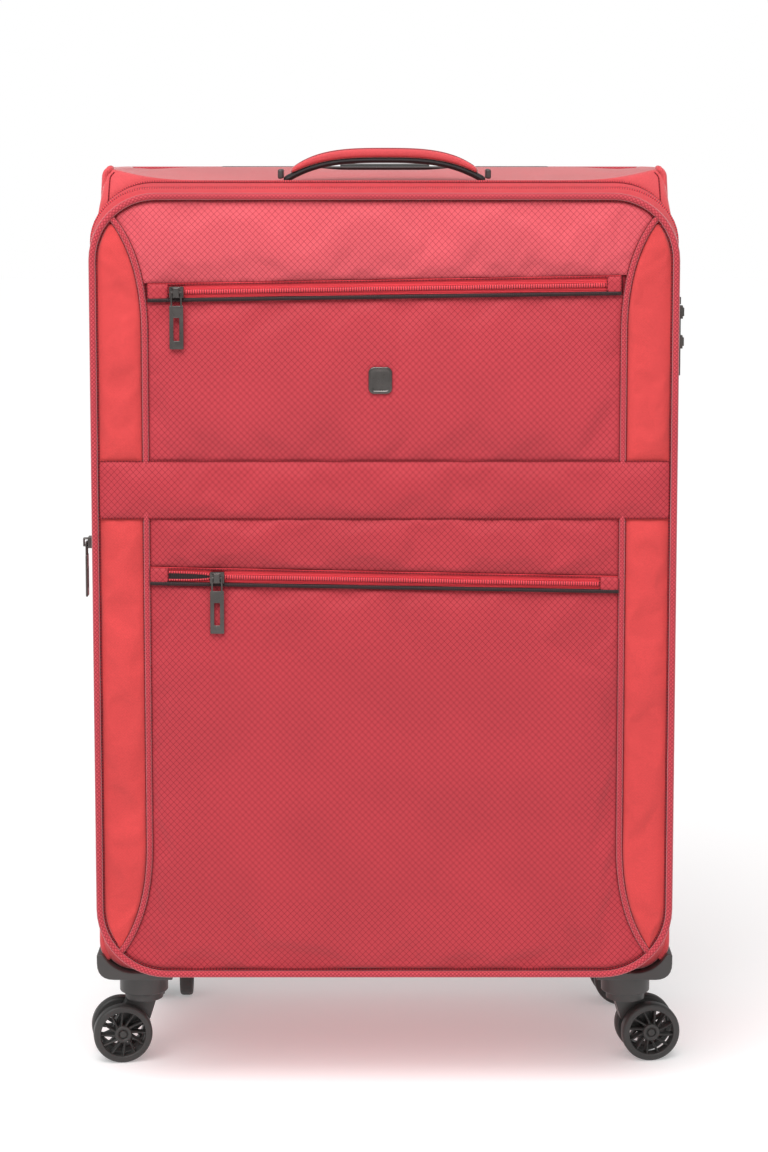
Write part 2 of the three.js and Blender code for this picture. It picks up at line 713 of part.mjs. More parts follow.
// a tyre with chamfered shoulders, thin radial spokes and a hub
function wheel() {
  const { radius, width, rim, hub, chamfer, spokes, spoke, recess } = WHEEL;
  const half = width / 2;
  const tread = [
    [rim, recess - half],
    [radius - chamfer, -half],
    [radius, chamfer - half],
    [radius, half - chamfer],
    [radius - chamfer, half],
    [rim, half - recess],
    [rim, recess - half],
  ];
  const tyre = solid(new THREE.LatheGeometry(tread.map(([r, y]) => new THREE.Vector2(r, y)), 28));
  const boss = axle(0, 0, 0, hub, width - 1.5 * recess, 20);
  const arms = Array.from({ length: spokes }, (_, i) => {
    const arm = new THREE.BoxGeometry(rim - hub + 2, width - 4 * recess, spoke);
    arm.translate((rim + hub) / 2, 0, 0).rotateY((2 * Math.PI * i) / spokes);
    return solid(arm);
  });
  const bore = axle(0, 0, 0, FORK.pin + GAP / 2, width + 2 * OVER);
  return cut(join(tyre, boss, ...arms), bore);
}

function caster(place, fixed, rolling) {
  part("corner_guard_" + place.name, cornerGuard(place), GREY_PLASTIC, fixed);
  const group = new THREE.Group();
  group.position.set(place.x, place.y, 0);
  group.rotation.z = THREE.MathUtils.degToRad(place.turn);
  rolling.add(group);
  part("caster_fork_" + place.name, fork(), GREY_PLASTIC, group);
  for (const [side, sign] of [["a", -1], ["b", 1]]) {
    const mesh = part("wheel_" + place.name + "_" + side, wheel(), TYRE, group);
    mesh.position.set(WHEEL.trail, (sign * WHEEL.twin) / 2, WHEEL.radius);
  }
}

// ---------------------------------------------------------------- assembly
const suitcase = new THREE.Group();
rearBody(suitcase);
trolley(suitcase, suitcase);
carryHandle(suitcase, suitcase);
expander(suitcase, suitcase, suitcase);
cover(suitcase);
for (const { name, place, turn } of ZIP_SLIDERS) zipSlider(name, place, turn, suitcase);
for (const { name, z } of MAIN_SLIDERS) mainSlider(name, z, suitcase);
for (const place of CASTERS) caster(place, suitcase, suitcase);

// the origin is the middle of the overall box, on the floor
const reach = new THREE.Box3().setFromObject(suitcase, true);
const middle = reach.getCenter(new THREE.Vector3());
suitcase.position.set(-middle.x, -middle.y, -reach.min.z);

export default suitcase;
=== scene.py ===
"""Softside upright suitcase: its fabric, zips, handles and casters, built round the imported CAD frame.
Shapes are worked out in millimetres of the row frame and turned into metres when a mesh is made."""

import json
import math

import bmesh
import bpy
import numpy as np
from mathutils import Matrix, Vector
from mathutils.bvhtree import BVHTree


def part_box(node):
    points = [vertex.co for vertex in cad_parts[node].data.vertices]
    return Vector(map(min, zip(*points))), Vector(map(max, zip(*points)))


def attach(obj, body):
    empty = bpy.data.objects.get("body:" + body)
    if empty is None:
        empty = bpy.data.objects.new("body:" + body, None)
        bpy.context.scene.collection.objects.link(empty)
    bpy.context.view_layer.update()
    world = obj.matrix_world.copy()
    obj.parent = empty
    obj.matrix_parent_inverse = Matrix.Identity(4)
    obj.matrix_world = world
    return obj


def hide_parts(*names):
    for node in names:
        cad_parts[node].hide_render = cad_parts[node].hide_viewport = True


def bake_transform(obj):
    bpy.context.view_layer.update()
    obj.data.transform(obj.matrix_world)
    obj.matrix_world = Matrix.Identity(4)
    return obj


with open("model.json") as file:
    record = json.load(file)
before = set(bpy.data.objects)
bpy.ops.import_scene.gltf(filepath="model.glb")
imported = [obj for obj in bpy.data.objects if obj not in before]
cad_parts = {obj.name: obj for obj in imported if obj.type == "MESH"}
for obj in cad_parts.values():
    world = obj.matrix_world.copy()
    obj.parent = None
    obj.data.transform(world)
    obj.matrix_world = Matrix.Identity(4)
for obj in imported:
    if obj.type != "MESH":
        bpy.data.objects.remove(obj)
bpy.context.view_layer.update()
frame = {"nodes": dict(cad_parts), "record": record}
RECORD = frame["record"]
BODY_OF = {n: b for b, nodes in RECORD["behaviour"]["bodies"].items() for n in nodes}
JOINTS = {j["name"]: j for j in RECORD["behaviour"]["joints"]}
MM = 0.001


def box(node):
    """Lowest and highest corner of a CAD node, in millimetres."""
    low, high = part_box(node)
    return np.array(low) / MM, np.array(high) / MM


# ---- stations taken from the CAD
BODY_LOW, BODY_HIGH = box("rear_gusset")
FRAME_LOW, FRAME_HIGH = box("front_gusset")
LID_LOW, LID_HIGH = box("lid_piping")
SHELL_LOW, SHELL_HIGH = box("lid_shell")
CX = (LID_LOW[0] + LID_HIGH[0]) / 2
SIDES = ((-1, "left"), (1, "right"))
LID_HALF = LID_HIGH[0] - CX
BASE = SHELL_LOW[1]  # front face of the cover's board
SEAM_X = box("yoke_panel")[1][0] - CX + 0.3
LID_R = (60.0, 56.0)  # corner radii of the cover, low and high
FRAME_R = (54.0, 50.0)
GORE_DROP = 20.0  # how far the side panels end below the top of the cover, and above its foot
GORE_CURVE = 96.0  # height over which their seam bends outwards
GORE_TIP = 226.0  # half width that the seam reaches


# ---- mesh building
def placed(name, data):
    """A new object in the scene."""
    obj = bpy.data.objects.new(name, data)
    bpy.context.scene.collection.objects.link(obj)
    return obj


def smooth_mesh(name, verts, faces):
    mesh = bpy.data.meshes.new(name)
    mesh.from_pydata((np.asarray(verts) * MM).tolist(), [], faces)
    mesh.shade_smooth()
    return mesh


def co_of(mesh):
    return np.array([v.co for v in mesh.vertices])


def move_to(mesh, co):
    mesh.vertices.foreach_set("co", co.ravel())
    mesh.update()


def lengths(points, closed):
    """Distance along a row of points, to each of them, and round to the first when it is closed."""
    steps = np.linalg.norm(np.diff(points, axis=0, append=points[:1]), axis=1)
    total = np.concatenate([[0], np.cumsum(steps)])
    return total if closed else total[:-1]


def grid(name, P, close_u=False, close_v=False, uv=None, flip=False, hole=None):
    """A sheet of quads from P[row, column], less those in hole(centres).
    Its texture coordinates are millimetres."""
    P = np.asarray(P, float)
    rows, cols = P.shape[:2]
    if uv is None:
        u = lengths(P[rows // 2], close_u)
        v = lengths(P[:, cols // 2], close_v)
        uv = (np.tile(u, (len(v), 1)), np.tile(v[:, None], (1, len(u))))
    U, V = uv
    r, c = np.mgrid[0 : rows - (not close_v), 0 : cols - (not close_u)]
    r, c = r.ravel(), c.ravel()
    r2, c2 = (r + 1) % rows, (c + 1) % cols
    quads = np.stack([r * cols + c, r * cols + c2, r2 * cols + c2, r2 * cols + c], 1)
    ru, cu = (r + 1), (c + 1)
    corner_u = np.stack([U[r, c], U[r, cu], U[ru, cu], U[ru, c]], 1)
    corner_v = np.stack([V[r, c], V[r, cu], V[ru, cu], V[ru, c]], 1)
    if hole is not None:
        keep = ~hole(P.reshape(-1, 3)[quads].mean(1))
        quads, corner_u, corner_v = quads[keep], corner_u[keep], corner_v[keep]
    if flip:
        quads, corner_u, corner_v = quads[:, ::-1], corner_u[:, ::-1], corner_v[:, ::-1]
    mesh = smooth_mesh(name, P.reshape(-1, 3), quads.tolist())
    layer = mesh.uv_layers.new(name="UVMap")
    layer.data.foreach_set("uv", np.stack([corner_u, corner_v], 2).ravel())
    mesh.update()
    return placed(name, mesh)


def tube(name, path, out, ra, rb, closed=False, sides=12, power=1.0):
    """A bead along a path: ra is its half size along out, rb across it."""
    path = np.asarray(path, float)
    if closed:
        T = np.roll(path, -1, 0) - np.roll(path, 1, 0)
    else:
        T = np.gradient(path, axis=0)
    T /= np.linalg.norm(T, axis=1)[:, None]
    N = np.broadcast_to(np.asarray(out, float), path.shape)
    N = N - (N * T).sum(1)[:, None] * T
    N /= np.linalg.norm(N, axis=1)[:, None]
    B = np.cross(T, N)
    a = np.linspace(0, 2 * math.pi, sides, endpoint=False)
    ca, sa = np.cos(a), np.sin(a)
    ca, sa = np.sign(ca) * abs(ca) ** power, np.sign(sa) * abs(sa) ** power
    P = path[None] + ca[:, None, None] * ra * N + sa[:, None, None] * rb * B
    if not closed:
        first = np.repeat(path[None, :1] - 0.3 * min(ra, rb) * T[None, :1], sides, 0)
        last = np.repeat(path[None, -1:] + 0.3 * min(ra, rb) * T[None, -1:], sides, 0)
        P = np.concatenate([first, P, last], 1)
    return grid(name, P, close_u=closed, close_v=True)


def outline(half, low, high, low_r, high_r, arc=12, side=60, cap=44):
    """Rounded rectangle in x and z, anticlockwise seen from the front, with its outward directions."""
    points, normals = [], []

    def line(x0, z0, x1, z1, n, normal):
        t = np.linspace(0, 1, n, endpoint=False)
        points.append(np.stack([x0 + (x1 - x0) * t, z0 + (z1 - z0) * t], 1))
        normals.append(np.tile(normal, (n, 1)))

    def corner(x, z, r, start):
        a = np.radians(np.linspace(start, start + 90, arc, endpoint=False))
        d = np.stack([np.cos(a), np.sin(a)], 1)
        points.append(np.array([x, z]) + r * d)
        normals.append(d)

    line(low_r - half, low, half - low_r, low, cap, (0, -1))
    corner(half - low_r, low + low_r, low_r, -90)
    line(half, low + low_r, half, high - high_r, side, (1, 0))
    corner(half - high_r, high - high_r, high_r, 0)
    line(half - high_r, high, high_r - half, high, cap, (0, 1))
    corner(high_r - half, high - high_r, high_r, 90)
    line(-half, high - high_r, -half, low + low_r, side, (-1, 0))
    corner(low_r - half, low + low_r, low_r, 180)
    return np.concatenate(points), np.concatenate(normals)


def curve(x, y, z):
    """Points of a curve whose x is measured from the middle of the case."""
    return np.stack(np.broadcast_arrays(x + CX, y, z), 1)


def ring(points, y):
    return curve(points[:, 0], y, points[:, 1])


def upright_uv(P):
    """Texture coordinates that follow x and z, for a sheet whose rows are closed."""
    return tuple(np.concatenate([P[:, :, k], P[:, :1, k]], 1) for k in (0, 2))


def subdivide(obj, level=1):
    smooth = obj.modifiers.new("Subdivision", "SUBSURF")
    smooth.levels = smooth.render_levels = level


def dress(obj, material, body, *nodes, slot=None, level=0):
    """Gives a piece its material and the body it rides on, and hides the CAD nodes it stands for."""
    obj.data.materials.clear()
    obj.data.materials.append(material)
    if level:
        subdivide(obj, level)
    if body:
        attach(obj, body)
    if nodes:
        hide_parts(*nodes)
    return obj


# ---- materials
class Shader:
    """A node material, with short calls for the nodes it is made of."""

    def __init__(self, name, roughness, metallic=0.0, sheen=0.0, specular=0.5):
        self.material = bpy.data.materials.new(name)
        self.material.use_nodes = True
        self.nodes = self.material.node_tree.nodes
        self.links = self.material.node_tree.links
        self.bsdf = self.nodes["Principled BSDF"]
        settings = {"Roughness": roughness, "Metallic": metallic, "Specular IOR Level": specular}
        if sheen:
            settings |= {"Sheen Weight": sheen, "Sheen Roughness": 0.4}
        for socket, value in settings.items():
            self.bsdf.inputs[socket].default_value = value
        self.coords = self.node("TexCoord")

    def node(self, kind):
        return self.nodes.new("ShaderNode" + kind)

    def put(self, socket, value):
        if isinstance(value, bpy.types.NodeSocket):
            self.links.new(value, socket)
        else:
            socket.default_value = value

    def math(self, operation, *values):
        node = self.node("Math")
        node.operation = operation
        for socket, value in zip(node.inputs, values):
            self.put(socket, value)
        return node.outputs[0]

    def step(self, value, low, high, to_low=0.0, to_high=1.0):
        node = self.node("MapRange")
        node.interpolation_type = "SMOOTHSTEP"
        for socket, item in zip(node.inputs, (value, low, high, to_low, to_high)):
            self.put(socket, item)
        return node.outputs[0]

    def mix(self, share, a, b, blend="MIX"):
        node = self.node("Mix")
        node.data_type = "RGBA"
        node.blend_type = blend
        self.put(node.inputs[0], share)
        self.put(node.inputs[6], a)
        self.put(node.inputs[7], b)
        return node.outputs[2]

    def noise(self, scale, detail=3.0):
        """Noise with the given number of cells per metre."""
        node = self.node("TexNoise")
        self.links.new(self.coords.outputs["Object"], node.inputs["Vector"])
        node.inputs["Scale"].default_value = scale
        node.inputs["Detail"].default_value = detail
        return node.outputs[0]

    def uv(self):
        node = self.node("SeparateXYZ")
        self.links.new(self.coords.outputs["UV"], node.inputs[0])
        return node.outputs[0], node.outputs[1]

    def finish(self, color, height=None, distance=0.0004, strength=1.0, roughness=None):
        self.put(self.bsdf.inputs["Base Color"], color)
        if roughness is not None:
            self.put(self.bsdf.inputs["Roughness"], roughness)
        if height is not None:
            bump = self.node("Bump")
            bump.inputs["Strength"].default_value = strength
            bump.inputs["Distance"].default_value = distance
            self.links.new(height, bump.inputs["Height"])
            self.links.new(bump.outputs[0], self.bsdf.inputs["Normal"])
        return self.material

    def varied(self, color, amount=0.05, scale=14.0):
        """The colour, a little lighter and darker in broad patches and in fine fibres."""
        broad = self.step(self.noise(scale), 0.3, 0.7, 1 - amount, 1 + amount * 0.5)
        fine = self.step(self.noise(900.0, 2.0), 0.3, 0.7, 0.93, 1.05)
        return self.mix(1.0, color, self.math("MULTIPLY", broad, fine), "MULTIPLY")


def rgb(r, g, b):
    """Linear colour from display values of 0 to 255."""
    return tuple(((v / 255 + 0.055) / 1.055) ** 2.4 if v > 10 else v / 3295 for v in (r, g, b)) + (1.0,)


def lattice(name, cell, line, width=5.3, height=5.5, edge=(0.015, 0.075)):
    """Cloth woven in small raised diamonds with thin darker lines crossing between them."""
    s = Shader(name, 0.8, sheen=0.55, specular=0.35)
    u, v = s.uv()
    across = s.math("DIVIDE", u, width)
    up = s.math("DIVIDE", v, height)
    first = s.math("PINGPONG", s.math("ADD", across, up), 0.5)
    second = s.math("PINGPONG", s.math("SUBTRACT", across, up), 0.5)
    mask = s.math("MULTIPLY", s.step(first, *edge), s.step(second, *edge))
    threads = s.math("SINE", s.math("MULTIPLY", u, 2 * math.pi / 0.62))
    color = s.varied(s.mix(mask, line, cell))
    height_map = s.math("ADD", mask, s.math("MULTIPLY", threads, 0.05))
    return s.finish(color, height_map, 0.0003, 0.18, s.step(mask, 0, 1, 0.9, 0.72))


def weave(name, color, dark, pitch=1.3, roughness=0.85, sheen=0.2):
    """Plain over-and-under weave."""
    s = Shader(name, roughness, sheen=sheen, specular=0.3)
    u, v = s.uv()
    warp = s.math("SINE", s.math("MULTIPLY", u, 2 * math.pi / pitch))
    weft = s.math("SINE", s.math("MULTIPLY", v, 2 * math.pi / pitch))
    crossing = s.math("MULTIPLY", warp, weft)
    mask = s.step(crossing, -0.9, 0.5)
    return s.finish(s.varied(s.mix(mask, dark, color), 0.08), mask, 0.00015, 0.5)


def ribbed(name, color, dark, pitch, along_u=False, roughness=0.6, bump=0.0003):
    """Ribs at an even pitch, along the piece or across it."""
    s = Shader(name, roughness, sheen=0.1, specular=0.35)
    u, v = s.uv()
    wave = s.math("PINGPONG", s.math("DIVIDE", u if along_u else v, pitch), 0.5)
    mask = s.step(wave, 0.06, 0.3)
    return s.finish(s.varied(s.mix(mask, dark, color), 0.06), mask, bump, 0.8)


def plastic(name, color, roughness=0.45, grain=1400.0, bump=0.00006):
    """Moulded plastic with a fine grain and slight wear."""
    s = Shader(name, roughness, specular=0.45)
    fine = s.noise(grain, 2.0)
    worn = s.step(s.noise(35.0, 4.0), 0.35, 0.75, roughness - 0.06, roughness + 0.1)
    tone = s.step(s.noise(22.0), 0.3, 0.7, 0.9, 1.1)
    return s.finish(s.mix(1.0, color, tone, "MULTIPLY"), fine, bump, 0.6, worn)


def metal(name, color, roughness=0.32):
    """Plated metal with faint scuffs."""
    s = Shader(name, roughness, metallic=1.0)
    scuff = s.step(s.noise(260.0, 5.0), 0.3, 0.8, roughness - 0.06, roughness + 0.14)
    tone = s.step(s.noise(60.0), 0.3, 0.7, 0.88, 1.1)
    return s.finish(s.mix(1.0, color, tone, "MULTIPLY"), s.noise(500.0), 0.00003, 0.4, scuff)


LATTICE = lattice("lattice_red", rgb(172, 47, 57), rgb(114, 17, 30))
# a slightly lighter copy of the lattice cloth for the upper pad: painted light from above
LATTICE_PAINTED_LIGHTER = lattice("lattice_red_painted_lighter", rgb(175, 50, 60), rgb(114, 17, 30))
# a much lighter copy of the lattice cloth for the top pad: painted light falling on the top
LATTICE_PAINTED_LIT = lattice("lattice_red_painted_lit", rgb(199, 77, 86), rgb(146, 40, 53))
LATTICE_BEAD = lattice("lattice_piping", rgb(190, 66, 76), rgb(146, 34, 46), 3.4, 3.4, (0.08, 0.22))
BODY_WEAVE = weave("body_weave", rgb(206, 80, 84), rgb(190, 62, 68), 1.1, 0.8, 0.6)
CORAL = weave("coral_weave", rgb(204, 68, 68), rgb(180, 48, 50), 1.3, 0.85, 0.45)
TAPE = ribbed("zip_tape_red", rgb(212, 50, 60), rgb(186, 34, 46), 1.5)
COIL = ribbed("zip_coil_red", rgb(214, 62, 72), rgb(104, 10, 24), 2.0, True, 0.45, 0.0005)
# dark red seam material: real stitching on the handle and back, and also thin dark lines in the grooves beside
# piping and zips that are painted shade
SEAM = ribbed("seam_thread_and_painted_shade", rgb(140, 20, 34), rgb(88, 8, 18), 2.6, True, 0.8)
DARK_PIPING = ribbed("zip_piping_dark", rgb(40, 18, 20), rgb(16, 6, 8), 1.6, True, 0.55)
LINING = weave("lining_grey", rgb(96, 94, 98), rgb(62, 60, 64), 1.8, 0.75, 0.1)
WEBBING = ribbed("black_webbing", rgb(34, 31, 33), rgb(12, 11, 12), 2.0)
PLASTIC = plastic("grey_plastic", rgb(62, 61, 60))
HOUSING = plastic("caster_plastic", rgb(66, 65, 64), 0.42)
TYRE = plastic("wheel_plastic", rgb(54, 53, 52), 0.5)
GUNMETAL = metal("gunmetal", rgb(92, 88, 86))
ALUMINIUM = metal("satin_aluminium", rgb(190, 192, 196), 0.28)


def thread(name, path, ra=0.6, rb=0.6, out=(0, -1, 0), material=SEAM, body="cover", slot="piping"):
    """A seam, a row of zip teeth or a line of piping along a path."""
    return dress(tube(name, path, out, ra, rb), material, body, slot=slot)


# ---- rear body
WING_Y = BODY_LOW[1] + 9.0  # front edge of the squarer rear body
TOP_IN = 8.0  # how far the body draws in at its top
TAPER_LOW, TAPER_SPAN = 380.0, 380.0  # where that begins, and over what height
SHOULDER_IN = 2.6  # how much further the last of it draws in
SWELL, SWELL_FADE = 3.0, 120.0  # how far the sides swell, and where that fades at either end
TOP_ZONE = 60.0  # height below the top that follows the top's own shape
CORNER_LIFT = 6.0
CAP_HIGH = box("handle_end_cap_left")[0]
SAG = BODY_HIGH[2] - CAP_HIGH[2] + 0.3  # how far the top's middle sags at the front
SAG_FLAT, SAG_BACK = CAP_HIGH[1] + 35.0, CAP_HIGH[1] + 111.0
SAG_HALF = 206.0
WELL_LOW, WELL_HIGH = box("trolley_bezel")
RIDGE_Y = WELL_LOW[1] - 36.0  # the top stands highest just in front of the trolley well
RIDGE_RISE, RIDGE_SPREAD = 3.4, 28.0  # its height, and how far it spreads back and forth
BACK_SEAM_X, BACK_SEAM_HALF = 128.0, 2.4  # twin seams up the back


def body_outline(y_share, grow=0.0, low_r=26.0, high_r=7.0):
    """Outline of the rear body, drawn in at the top, with its top corners standing up."""
    half = BODY_HIGH[0] - CX - 2.5 + grow
    points, normals = outline(half, BODY_LOW[2] - grow, BODY_HIGH[2] - 1.5 + grow, low_r, high_r)
    x, z = points[:, 0].copy(), points[:, 1].copy()
    rise = np.clip((z - TAPER_LOW) / TAPER_SPAN, 0, 1)
    swell = math.sin(math.pi * min(max(y_share, 0), 1)) ** 0.7
    side = np.clip(np.minimum(z - BODY_LOW[2], BODY_HIGH[2] - z) / SWELL_FADE, 0, 1)
    x -= np.sign(x) * TOP_IN * rise * abs(x) / half
    x += np.sign(x) * SWELL * swell * side * (abs(normals[:, 0]) > 0.9)
    near_top = np.clip((z - BODY_HIGH[2] + TOP_ZONE) / TOP_ZONE, 0, 1)
    lift = CORNER_LIFT * (abs(x) / half) ** 9 * (1 - 0.35 * y_share)
    y = WING_Y + (BODY_HIGH[1] - WING_Y) * y_share
    sag = SAG * np.clip((SAG_BACK - y) / (SAG_BACK - SAG_FLAT), 0, 1)
    sag = sag * (1 - np.clip((abs(x) - SAG_HALF + 30) / 50, 0, 1) ** 2)
    x -= np.sign(x) * SHOULDER_IN * near_top**2 * abs(x) / half
    across = np.clip((abs(x) - 38) / 34, 0, 1) * np.clip((215 - abs(x)) / 40, 0, 1)
    ridge = RIDGE_RISE * math.exp(-(((y - RIDGE_Y) / RIDGE_SPREAD) ** 2)) * across
    z += near_top * (lift + ridge - sag + 1.5 * swell * (1 - (x / half) ** 4) * y_share - 0.3)
    return np.stack([x, z], 1), normals


def trolley_opening(centres):
    """Faces of the top that the trolley well takes the place of."""
    beside = abs(centres[:, 0] - CX) < WELL_HIGH[0] - CX
    return beside & (centres[:, 1] > WELL_LOW[1]) & (centres[:, 2] > WELL_LOW[2])


def rear_body():
    """The fabric skin and its grey lining. Gives back the skin's surface."""
    y_back = BODY_HIGH[1]
    frame_half, low, high = FRAME_HIGH[0] - CX, FRAME_LOW[2], FRAME_HIGH[2]
    mouth = outline(frame_half - 3, low + 3, high - 3, FRAME_R[0] - 3, FRAME_R[1] - 3)[0]
    lip = outline(frame_half + 0.5, low - 0.5, high + 0.5, *FRAME_R)[0]
    rows = [ring(mouth, BODY_LOW[1] + 5), ring(mouth, BODY_LOW[1]), ring(lip, BODY_LOW[1] - 0.5)]
    square = body_outline(0)[0]
    for share in (0.25, 0.6, 0.9):
        y = BODY_LOW[1] + (WING_Y - BODY_LOW[1]) * share ** 1.6
        rows.append(ring(lip + (square - lip) * share, y))
    well_share = (WELL_LOW[1] + 0.8 - WING_Y) / (y_back - WING_Y)
    for share in (*np.linspace(0, well_share, 12), 1):
        rows.append(ring(body_outline(share)[0], WING_Y + (y_back - WING_Y) * share))
    steps = np.linalg.norm(np.diff(np.array(rows), axis=0), axis=2)
    down = np.concatenate([np.zeros((1, steps.shape[1])), np.cumsum(steps, axis=0)])
    around = lengths(rows[-1], True)
    uv = (np.tile(around, (len(rows), 1)), np.concatenate([down, down[:, :1]], 1))
    skin = grid("rear_body", rows, close_u=True, uv=uv, hole=trolley_opening)
    dress(skin, BODY_WEAVE, "case", "rear_gusset", slot="lattice_fabric", level=1)
    inner = [ring(outline(frame_half - 4, low + 4, high - 4, 50, 46)[0], BODY_LOW[1] + 5.5)]
    for y in (*np.linspace(WING_Y + 6, WELL_LOW[1] - 1, 9), y_back - 2):
        inner.append(ring(body_outline((y - WING_Y) / (y_back - WING_Y), -5.0, 22, 12)[0], y))
    middle = np.array([CX, y_back - 2, (BODY_LOW[2] + BODY_HIGH[2]) / 2])
    edge = inner[-1]
    for share in np.linspace(0.85, 0, 6):
        inner.append(middle + (edge - middle) * share)
    lining = grid("body_lining", inner, close_u=True, flip=True, hole=trolley_opening)
    dress(lining, LINING, "case", slot="lining")
    return BVHTree.FromPolygons(co_of(skin.data).tolist(), [p.vertices for p in skin.data.polygons])


def edge_bead(side, word, skin):
    """Piping up the front edge of the rear body, then back along its top ridge, and its seam."""
    points, normals = body_outline(0)
    where = np.where((points[:, 0] * side > 0) & (abs(normals[:, 0]) > 0.6) & (points[:, 1] > 96))[0]
    order = where[np.argsort(points[where, 1])]
    column = [(points[i, 0], WING_Y - 0.6, points[i, 1]) for i in order]
    top = column[-1]
    turn = [
        (top[0] - side * 0.9, WING_Y + 0.4, top[2] + 1.1),
        (top[0] - side * 1.8, WING_Y + 3.0, top[2] + 1.5),
    ]
    ridge = []
    for share in np.linspace(0.12, 1, 12):
        shape = body_outline(share)[0]
        corner = shape[np.argmax(shape[:, 0] * side + shape[:, 1])]
        ridge.append((corner[0], WING_Y + (BODY_HIGH[1] - WING_Y) * share, corner[1] + 0.4))
    path = np.array(column + turn + ridge)
    path[:, 0] += CX
    out = np.tile((side * 1.0, -0.6, 0.35), (len(path), 1))
    bead = tube("edge_bead_" + word, path, out, 2.8, 2.6)
    dress(bead, BODY_WEAVE, "case", slot="piping")
    crease = []
    for z in np.arange(FRAME_HIGH[2] - 45, top[2] - 1, 2.0):
        inwards = 4.6 + max(0, z - top[2] + 6) * 0.5
        x = np.interp(z, [p[2] for p in column], [p[0] for p in column]) - side * inwards
        hit = skin.ray_cast(Vector((x + CX, BODY_LOW[1] - 20, z)) * MM, (0, 1, 0))[0]
        if hit is not None:
            crease.append(np.array(hit) / MM + (0, -0.25, 0))
    thread(bead.name + "_seam", crease, 0.55, 0.55, (side, -0.6, 0.35), body="case")


def back_cover():
    y = BODY_HIGH[1]
    half, low, high = BODY_HIGH[0] - CX, BODY_LOW[2], BODY_HIGH[2]
    rows = [
        ring(outline(half - 4 - inset, low + 1 + inset, high - 3 - inset, 30, 16)[0], y + depth)
        for inset, depth in ((0.5, 0.0), (2.5, 2.2), (7, 3.2), (14, 3.7), (22, 2.6), (26, 2.4), (34, 3.8))
    ]
    centre = np.array([CX, y + 4.0, (low + high) / 2])
    for share in np.linspace(0.85, 0.0, 8):
        flat = centre + (rows[6] - centre) * share
        flat[:, 1] = y + 4.0
        rows.append(flat)
    P = np.array(rows)
    cover = grid("back_cover", P, close_u=True, uv=upright_uv(P))
    dress(cover, LATTICE, "case", "back_panel", slot="lattice_fabric")
    z = np.linspace(low + 36, high - 40, 60)
    for side, word in SIDES:
        for k, shift in enumerate((-BACK_SEAM_HALF, BACK_SEAM_HALF)):
            path = curve(side * BACK_SEAM_X + shift, y + 4.2, z)
            thread(f"back_seam_{word}_{k}", path, 0.5, 0.6, (0, 1, 0), body="case")
    edge, normals = outline(half - 2, low - 0.5, high - 1.5, 30, 14)
    out = np.stack([normals[:, 0], np.zeros(len(edge)), normals[:, 1]], 1)
    bead = tube("back_bead", ring(edge, y + 1.5), out, 3.2, 3.0, closed=True)
    dress(bead, LATTICE_BEAD, "case", "rear_piping", slot="piping")


skin_surface = rear_body()
for side, word in SIDES:
    edge_bead(side, word, skin_surface)
back_cover()

# ---- front part and main zip
# outlines: half width, lowest and highest z, and the radii of the low and high corners
FRAME_EDGE = (FRAME_HIGH[0] - CX, FRAME_LOW[2], FRAME_HIGH[2], *FRAME_R)
LID_EDGE = (LID_HALF, LID_LOW[2], LID_HIGH[2], *LID_R)
SLOPE_BACK, SLOPE_MORE = 1.0, 4.2  # fall of the front part's top at its back, and further at its front


def sloped(shape, y):
    """The front part's outline at a depth: its top comes down towards the cover."""
    share = np.clip((FRAME_HIGH[1] - y) / (FRAME_HIGH[1] - FRAME_LOW[1]), 0, 1)
    shape = shape.copy()
    near_top = np.clip((shape[:, 1] - FRAME_HIGH[2] + TOP_ZONE) / TOP_ZONE, 0, 1)
    shape[:, 1] -= (SLOPE_BACK + SLOPE_MORE * share) * near_top
    return shape


def grown(edge, grow, y):
    """An outline grown outwards by a little, with its outward directions."""
    half, low, high, low_r, high_r = edge
    shape, normals = outline(half + grow, low - grow, high + grow, low_r + grow, high_r + grow)
    return sloped(shape, y) if edge is FRAME_EDGE else shape, normals


def band(name, edge, stations, material, body, *nodes, slot=None, flip=False):
    """A fabric wall round an outline: stations are pairs of growth and y."""
    rows = [ring(grown(edge, grow, y)[0], y) for grow, y in stations]
    return dress(grid(name, rows, close_u=True, flip=flip), material, body, *nodes, slot=slot)


def outline_bead(name, edge, grow, y, ra, rb, material, body, *nodes, slot=None):
    """Piping, teeth or a seam all round an outline."""
    shape, normals = grown(edge, grow, y)
    out = np.stack([normals[:, 0], np.zeros(len(shape)), normals[:, 1]], 1)
    bead = tube(name, ring(shape, y), out, ra, rb, closed=True)
    return dress(bead, material, body, *nodes, slot=slot)


COIL_Y = box("main_zip_coil")[0][1] + 1.7
front, back = FRAME_LOW[1], FRAME_HIGH[1]
band(
    "front_band", FRAME_EDGE,
    [(-4.5, back + 1), (-1.6, back - 1), (-0.6, back - 4), (0.3, back - 12), (0.5, front + 14),
     (-0.2, front + 5), (-1.6, front + 1), (-4, front - 0.5), (-7, front)],
    TAPE, "expander", "front_gusset", slot="lattice_fabric",
)
band(
    "front_band_lining", FRAME_EDGE,
    [(-7, front), (-6, front + 6), (-6, back - 6), (-5, back)], LINING, "expander", slot="lining", flip=True,
)
for name, y in (("front_band_seam_a", back - 3), ("front_band_seam_b", front + 3)):
    outline_bead(name, FRAME_EDGE, -0.4, y, 0.6, 0.6, SEAM, "expander", slot="zip_tape")
outline_bead(
    "main_zip_teeth", FRAME_EDGE, -1.4, COIL_Y, 1.7, 2.3, COIL, "expander", "main_zip_coil", slot="zip_tape"
)
outline_bead("expansion_zip_teeth", FRAME_EDGE, 0.0, back + 2.6, 1.3, 1.3, COIL, "case", slot="zip_tape")
bellows = band(
    "expansion_bellows", FRAME_EDGE,
    [(-5.2 - 0.5 * (i % 2), y) for i, y in enumerate(np.linspace(back + 34, back - 6, 13))],
    TAPE, None, "expansion_sleeve", slot="lining",
)
